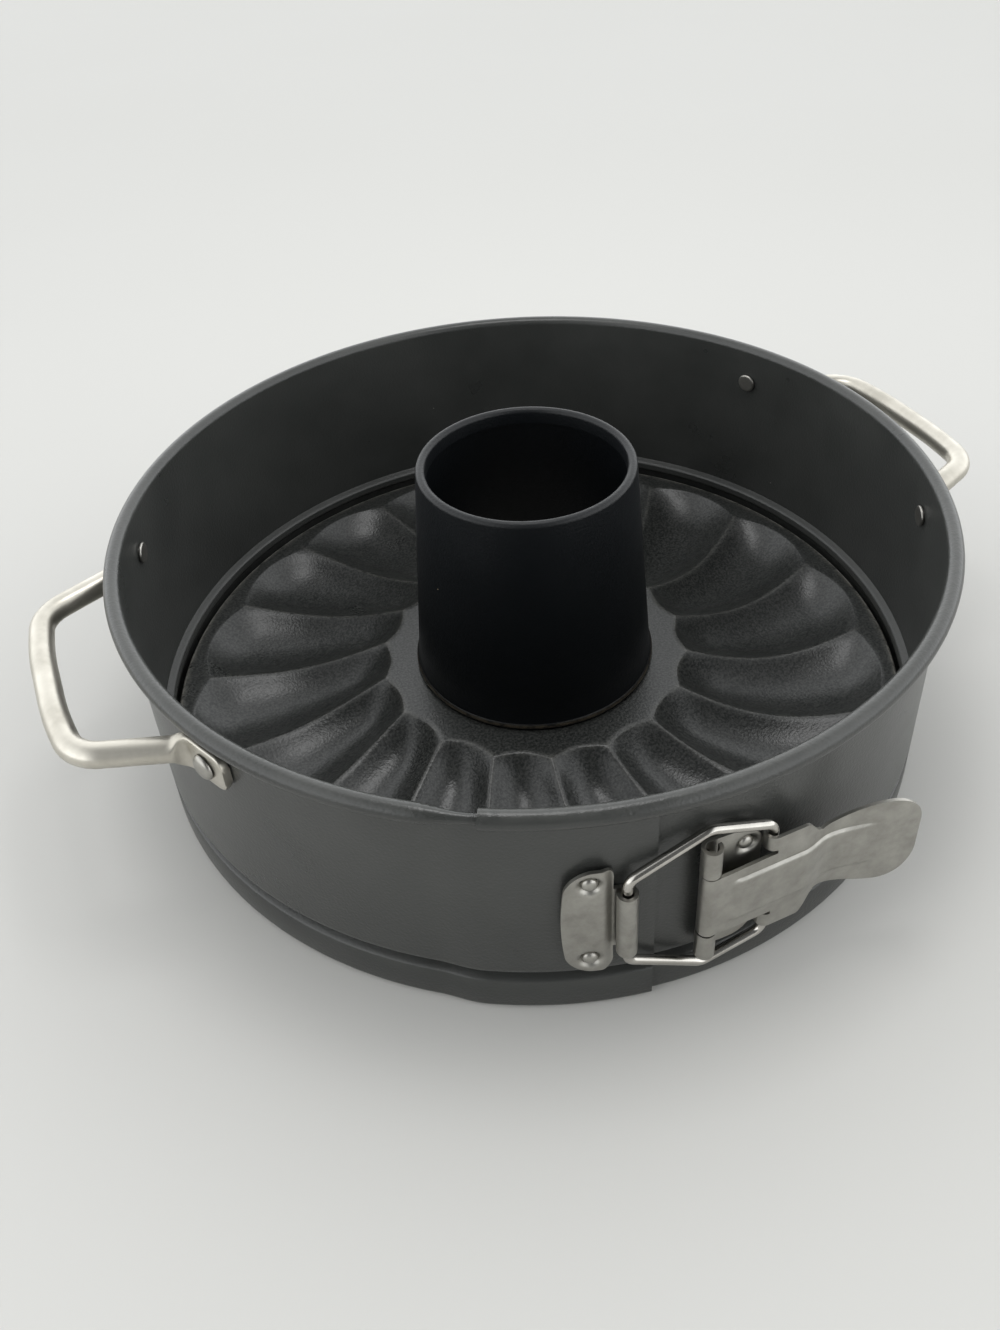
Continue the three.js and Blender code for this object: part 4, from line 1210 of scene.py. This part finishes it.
        rim = mix(half, middle + self.panel_edge, np.linspace(0.0, 1.0, 6)[None, :])
        slope = mix(middle + self.panel_edge, middle, np.linspace(0.0, 1.0, 6)[None, 1:])
        plain = mix(middle, 0.0, np.linspace(0.0, 1.0, 9)[None, 1:-1])
        up = np.concatenate([rim, slope, plain], axis=1)
        lift = np.concatenate([
            np.zeros_like(rim),
            panel * smooth(np.linspace(0.0, 1.0, 6)[None, 1:]),
            np.broadcast_to(panel, plain.shape),
        ], axis=1)
        flat = np.stack(np.broadcast_arrays(reach, -level - lift, up), axis=-1)
        spine = np.stack(np.broadcast_arrays(reach, -level - panel, np.zeros_like(reach)), axis=-1)

        first = len(roll) + len(body)
        last = first + len(ears)
        shares = np.concatenate([np.linspace(1.0, self.ear_slit, 8), [self.ear_slit / 2.0]])[None, :]
        ease = smooth((reach - self.ear_straight) / (self.lever_neck - self.ear_straight))
        tall = mix(self.ear_half_height, half + self.panel_edge / 2.0, ease)
        ear = np.stack(np.broadcast_arrays(reach, -level, mix(half, tall, shares)), axis=-1).copy()
        steps = 18
        back = np.arange(steps, 0, -1)[:, None]
        curl = np.radians(90.0 + back / steps * self.ear_roll)
        ear_inner = mix(self.lever_half_height, self.ear_half_height, self.ear_slit)
        ear_up = mix(ear_inner, self.ear_half_height, (shares - self.ear_slit) / (1.0 - self.ear_slit))
        ear_x = self.ear_reach + self.ear_curl * np.cos(curl)
        ear_y = self.ear_curl - self.lever_curl - self.ear_curl * np.sin(curl)
        ear[first - steps:first] = np.stack(np.broadcast_arrays(ear_x, ear_y, ear_up), axis=-1)
        keep_ear = np.zeros(ear.shape[:2], bool)
        keep_ear[first:last] = True
        keep_ear[first - steps:first, :-1] = True

        upper = np.concatenate([ear, flat], axis=1)
        keep_upper = np.concatenate([keep_ear, np.ones(flat.shape[:2], bool)], axis=1)
        lower = upper[:, ::-1] * [1.0, 1.0, -1.0]
        grid = np.concatenate([upper, spine, lower], axis=1)
        keep = np.concatenate([keep_upper, np.ones((len(reach), 1), bool), keep_upper[:, ::-1]], axis=1)
        return sheet(self.lever_place(grid), self.lever, keep=keep)

    def bail_solid(self) -> Solid:
        """The bail: a round wire through the hook barrel, flared past the hinge, its ends in the ears."""
        run = self.ear_axis - self.hook_axis
        run[2] = 0.0
        length = float(np.linalg.norm(run))
        way = run / length
        flare = length * self.bail_share
        end = mix(self.lever_half_height, mix(self.lever_half_height, self.ear_half_height, self.ear_slit), 0.5)
        corners = np.array([
            [length, end], [length, self.bail_upper_end], [flare, self.bail_upper], [0.0, self.bail_neck],
            [0.0, -self.bail_neck], [flare, -self.bail_lower], [length, -self.bail_lower_end], [length, -end],
        ])
        line = even(round_corners(corners, np.full(6, self.bail_bend), 12), 0.5)
        path = self.hook_axis + line[:, :1] * way + line[:, 1:] * UP
        radius = np.full(len(path), self.bail_wire / 2.0)
        return sweep(path, np.cross(way, UP), bar_section(radius, radius, np.full(len(path), 2.0), 20))

    def build(self, shop: Workshop) -> None:
        """Puts the latch into the scene."""
        hook, hinge = self.plate_solid(self.hook_plan()), self.plate_solid(self.hinge_plan())
        shop.place("hook_plate_sheet", hook, Body.RING, "latch_hook_plate", Slot.PLATED, edge=0.22)
        shop.place("hinge_plate_sheet", hinge, Body.RING, "latch_hinge_plate", Slot.PLATED, edge=0.22)
        shop.place("hinge_pin_rod", self.pin_solid(), Body.RING, "hinge_pin", Slot.PLATED)
        shop.place("lever_sheet", self.lever_solid(), Body.LEVER, "latch_lever", Slot.PLATED, edge=0.2)
        shop.place("bail_loop_wire", self.bail_solid(), Body.BAIL, "wire_bail", Slot.BRIGHT_WIRE)
        grip = self.plate / 2.0 + self.plate_rise - self.dimple_depth + self.seat_gap
        tail = self.ring.inside - self.seat_gap
        hook_at = self.hook_angle - self.ring.along_wall(self.hook_rivet)
        hinge_at = self.hinge_angle + self.ring.along_wall(self.hinge_rivet)
        for level, sign in (("upper", 1.0), ("lower", -1.0)):
            height = self.level + sign * self.rivet_spread
            hooked = self.rivet.solid(hook_at, height, self.hook_radius + grip, tail + self.ring.lap_shift)
            hinged = self.rivet.solid(hinge_at, height, self.hinge_radius + grip, tail)
            shop.place(f"hook_stud_{level}", hooked, Body.RING, f"hook_rivet_{level}", Slot.PLATED)
            shop.place(f"hinge_stud_{level}", hinged, Body.RING, f"hinge_rivet_{level}", Slot.PLATED)


@dataclass
class Studio:
    """The paper floor, the room's light, the lamp and the camera."""

    picture_width: float = 1000.0
    picture_height: float = 1330.0
    focal_pixels: float = 1133.593
    middle: tuple[float, float] = (508.0, 525.0)
    pitch: float = 35.4784
    yaw: float = -1.2896
    roll: float = 3.3566
    azimuth: float = -23.8
    back: float = 270.9
    high: float = 253.6
    paper_half_width: float = 2400.0
    room_low: float = 2.7
    room_high: float = 1.45
    slit_share: float = 0.08
    slit_sides: tuple[float, float] = (0.25, 0.6)
    slit_end: tuple[float, float] = (-0.45, -0.1)
    lamp_height: float = 560.0
    lamp_size: float = 190.0
    lamp_power: float = 0.7

    def camera(self) -> Any:
        """The camera at the photograph's view.

        Pitch, yaw and roll turn a camera that looks along +Y; the azimuth then turns it about the pan's axis.
        The lens and the shift put the picture's principal point where the photograph has it.

        Returns:
            The camera object.
        """
        pitch, yaw, roll = np.radians([self.pitch, self.yaw, self.roll])
        forward = np.array([np.sin(yaw) * np.cos(pitch), np.cos(yaw) * np.cos(pitch), -np.sin(pitch)])
        right = np.array([np.cos(yaw), -np.sin(yaw), 0.0])
        down = np.cross(forward, right)
        level_right = np.cos(roll) * right + np.sin(roll) * down
        level_down = -np.sin(roll) * right + np.cos(roll) * down
        turn = Matrix.Rotation(np.radians(self.azimuth), 4, "Z")
        pose = Matrix.Identity(4)
        pose.col[0][:3] = level_right
        pose.col[1][:3] = -level_down
        pose.col[2][:3] = -forward
        pose.col[3][:3] = np.array([0.0, -self.back, self.high]) * MM
        data = bpy.data.cameras.new("photo_camera")
        data.sensor_width = 36.0
        data.lens = self.focal_pixels / self.picture_height * data.sensor_width
        data.shift_x = (self.picture_width / 2.0 - self.middle[0]) / self.picture_height
        data.shift_y = (self.middle[1] - self.picture_height / 2.0) / self.picture_height
        data.clip_start = 0.01
        camera = put("photo_camera", data)
        camera.matrix_world = turn @ pose
        bpy.context.scene.camera = camera
        return camera

    def paper(self) -> Any:
        """The floor: a flat sheet of paper that reaches past the picture's edges.

        Returns:
            The paper's object.
        """
        corners = np.array([[-1.0, -1.0, 0.0], [1.0, -1.0, 0.0], [1.0, 1.0, 0.0], [-1.0, 1.0, 0.0]])
        mesh = bpy.data.meshes.new("paper_floor")
        mesh.from_pydata((corners * self.paper_half_width * MM).tolist(), [], [[0, 1, 2, 3]])
        mesh.materials.append(PaperFloor("matt_paper_pale_grey", "#cecdca", "#cac9c5").material())
        mesh.update()
        paper = put("paper_floor", mesh)
        return paper

    def room(self) -> Any:
        """The light of a tent of white cloth, brightest low at the sides, dark in a slit on the camera's side.

        The brightness falls from the horizon to the top. The slit runs from the horizon below the camera up to
        the top: there a direction leans neither to a side nor to the back.

        Returns:
            The world.
        """
        world = bpy.data.worlds.new("white_tent")
        world.use_nodes = True
        tree = world.node_tree
        tree.nodes.clear()
        cosine, sine = np.cos(np.radians(self.azimuth)), np.sin(np.radians(self.azimuth))
        way = add_node(tree, "TexCoord").outputs["Generated"]
        aside = add_node(tree, "VectorMath", {0: way, 1: (cosine, sine, 0.0)}, operation="DOT_PRODUCT")
        ahead = add_node(tree, "VectorMath", {0: way, 1: (sine, -cosine, 0.0)}, operation="DOT_PRODUCT")
        off = add_node(tree, "Math", {0: aside}, operation="ABSOLUTE")
        beside = add_node(tree, "MapRange", {
            "Value": off, "From Min": self.slit_sides[0], "From Max": self.slit_sides[1]},
            interpolation_type="SMOOTHSTEP")
        behind = add_node(tree, "MapRange", {
            "Value": ahead, "From Min": self.slit_end[0], "From Max": self.slit_end[1],
            "To Min": 1.0, "To Max": 0.0})
        cloth = add_node(tree, "Math", {0: beside, 1: behind}, operation="MAXIMUM")
        share = add_node(tree, "MapRange", {"Value": cloth, "To Min": self.slit_share, "To Max": 1.0})
        height = add_node(tree, "SeparateXYZ", {"Vector": way}).outputs["Z"]
        level = add_node(tree, "MapRange", {
            "Value": height, "To Min": self.room_low, "To Max": self.room_high})
        strength = add_node(tree, "Math", {0: level, 1: share}, operation="MULTIPLY")
        light = add_node(tree, "Background", {"Color": linear("#f1f3f4"), "Strength": strength})
        add_node(tree, "OutputWorld", {"Surface": light})
        return world

    def lamp(self) -> Any:
        """A square soft lamp over the pan, which shines straight down.

        Returns:
            The lamp's object.
        """
        data = bpy.data.lights.new("top_panel", "AREA")
        data.shape = "SQUARE"
        data.size = self.lamp_size * MM
        data.energy = self.lamp_power
        lamp = put("top_panel", data)
        lamp.location = (0.0, 0.0, self.lamp_height * MM)
        return lamp

    def build(self) -> None:
        """Sets up the view, the room, the lamp, the paper and the camera."""
        scene = bpy.context.scene
        scene.view_settings.view_transform = "Standard"
        scene.world = self.room()
        self.lamp()
        self.paper()
        self.camera()


def main() -> None:
    """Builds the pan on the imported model, dresses it and reports each piece."""
    logging.basicConfig(level=logging.INFO, format="%(name)s: %(message)s")
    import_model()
    shop = Workshop({slot: finish.material() for slot, finish in FINISHES.items()})
    ring = RingBand()
    ring.build(shop)
    FlutedBase().build(shop)
    CentreTube().build(shop)
    WireHandles(ring).build(shop)
    Latch(ring).build(shop)
    Studio().build()


if __name__ == "__main__":
    main()
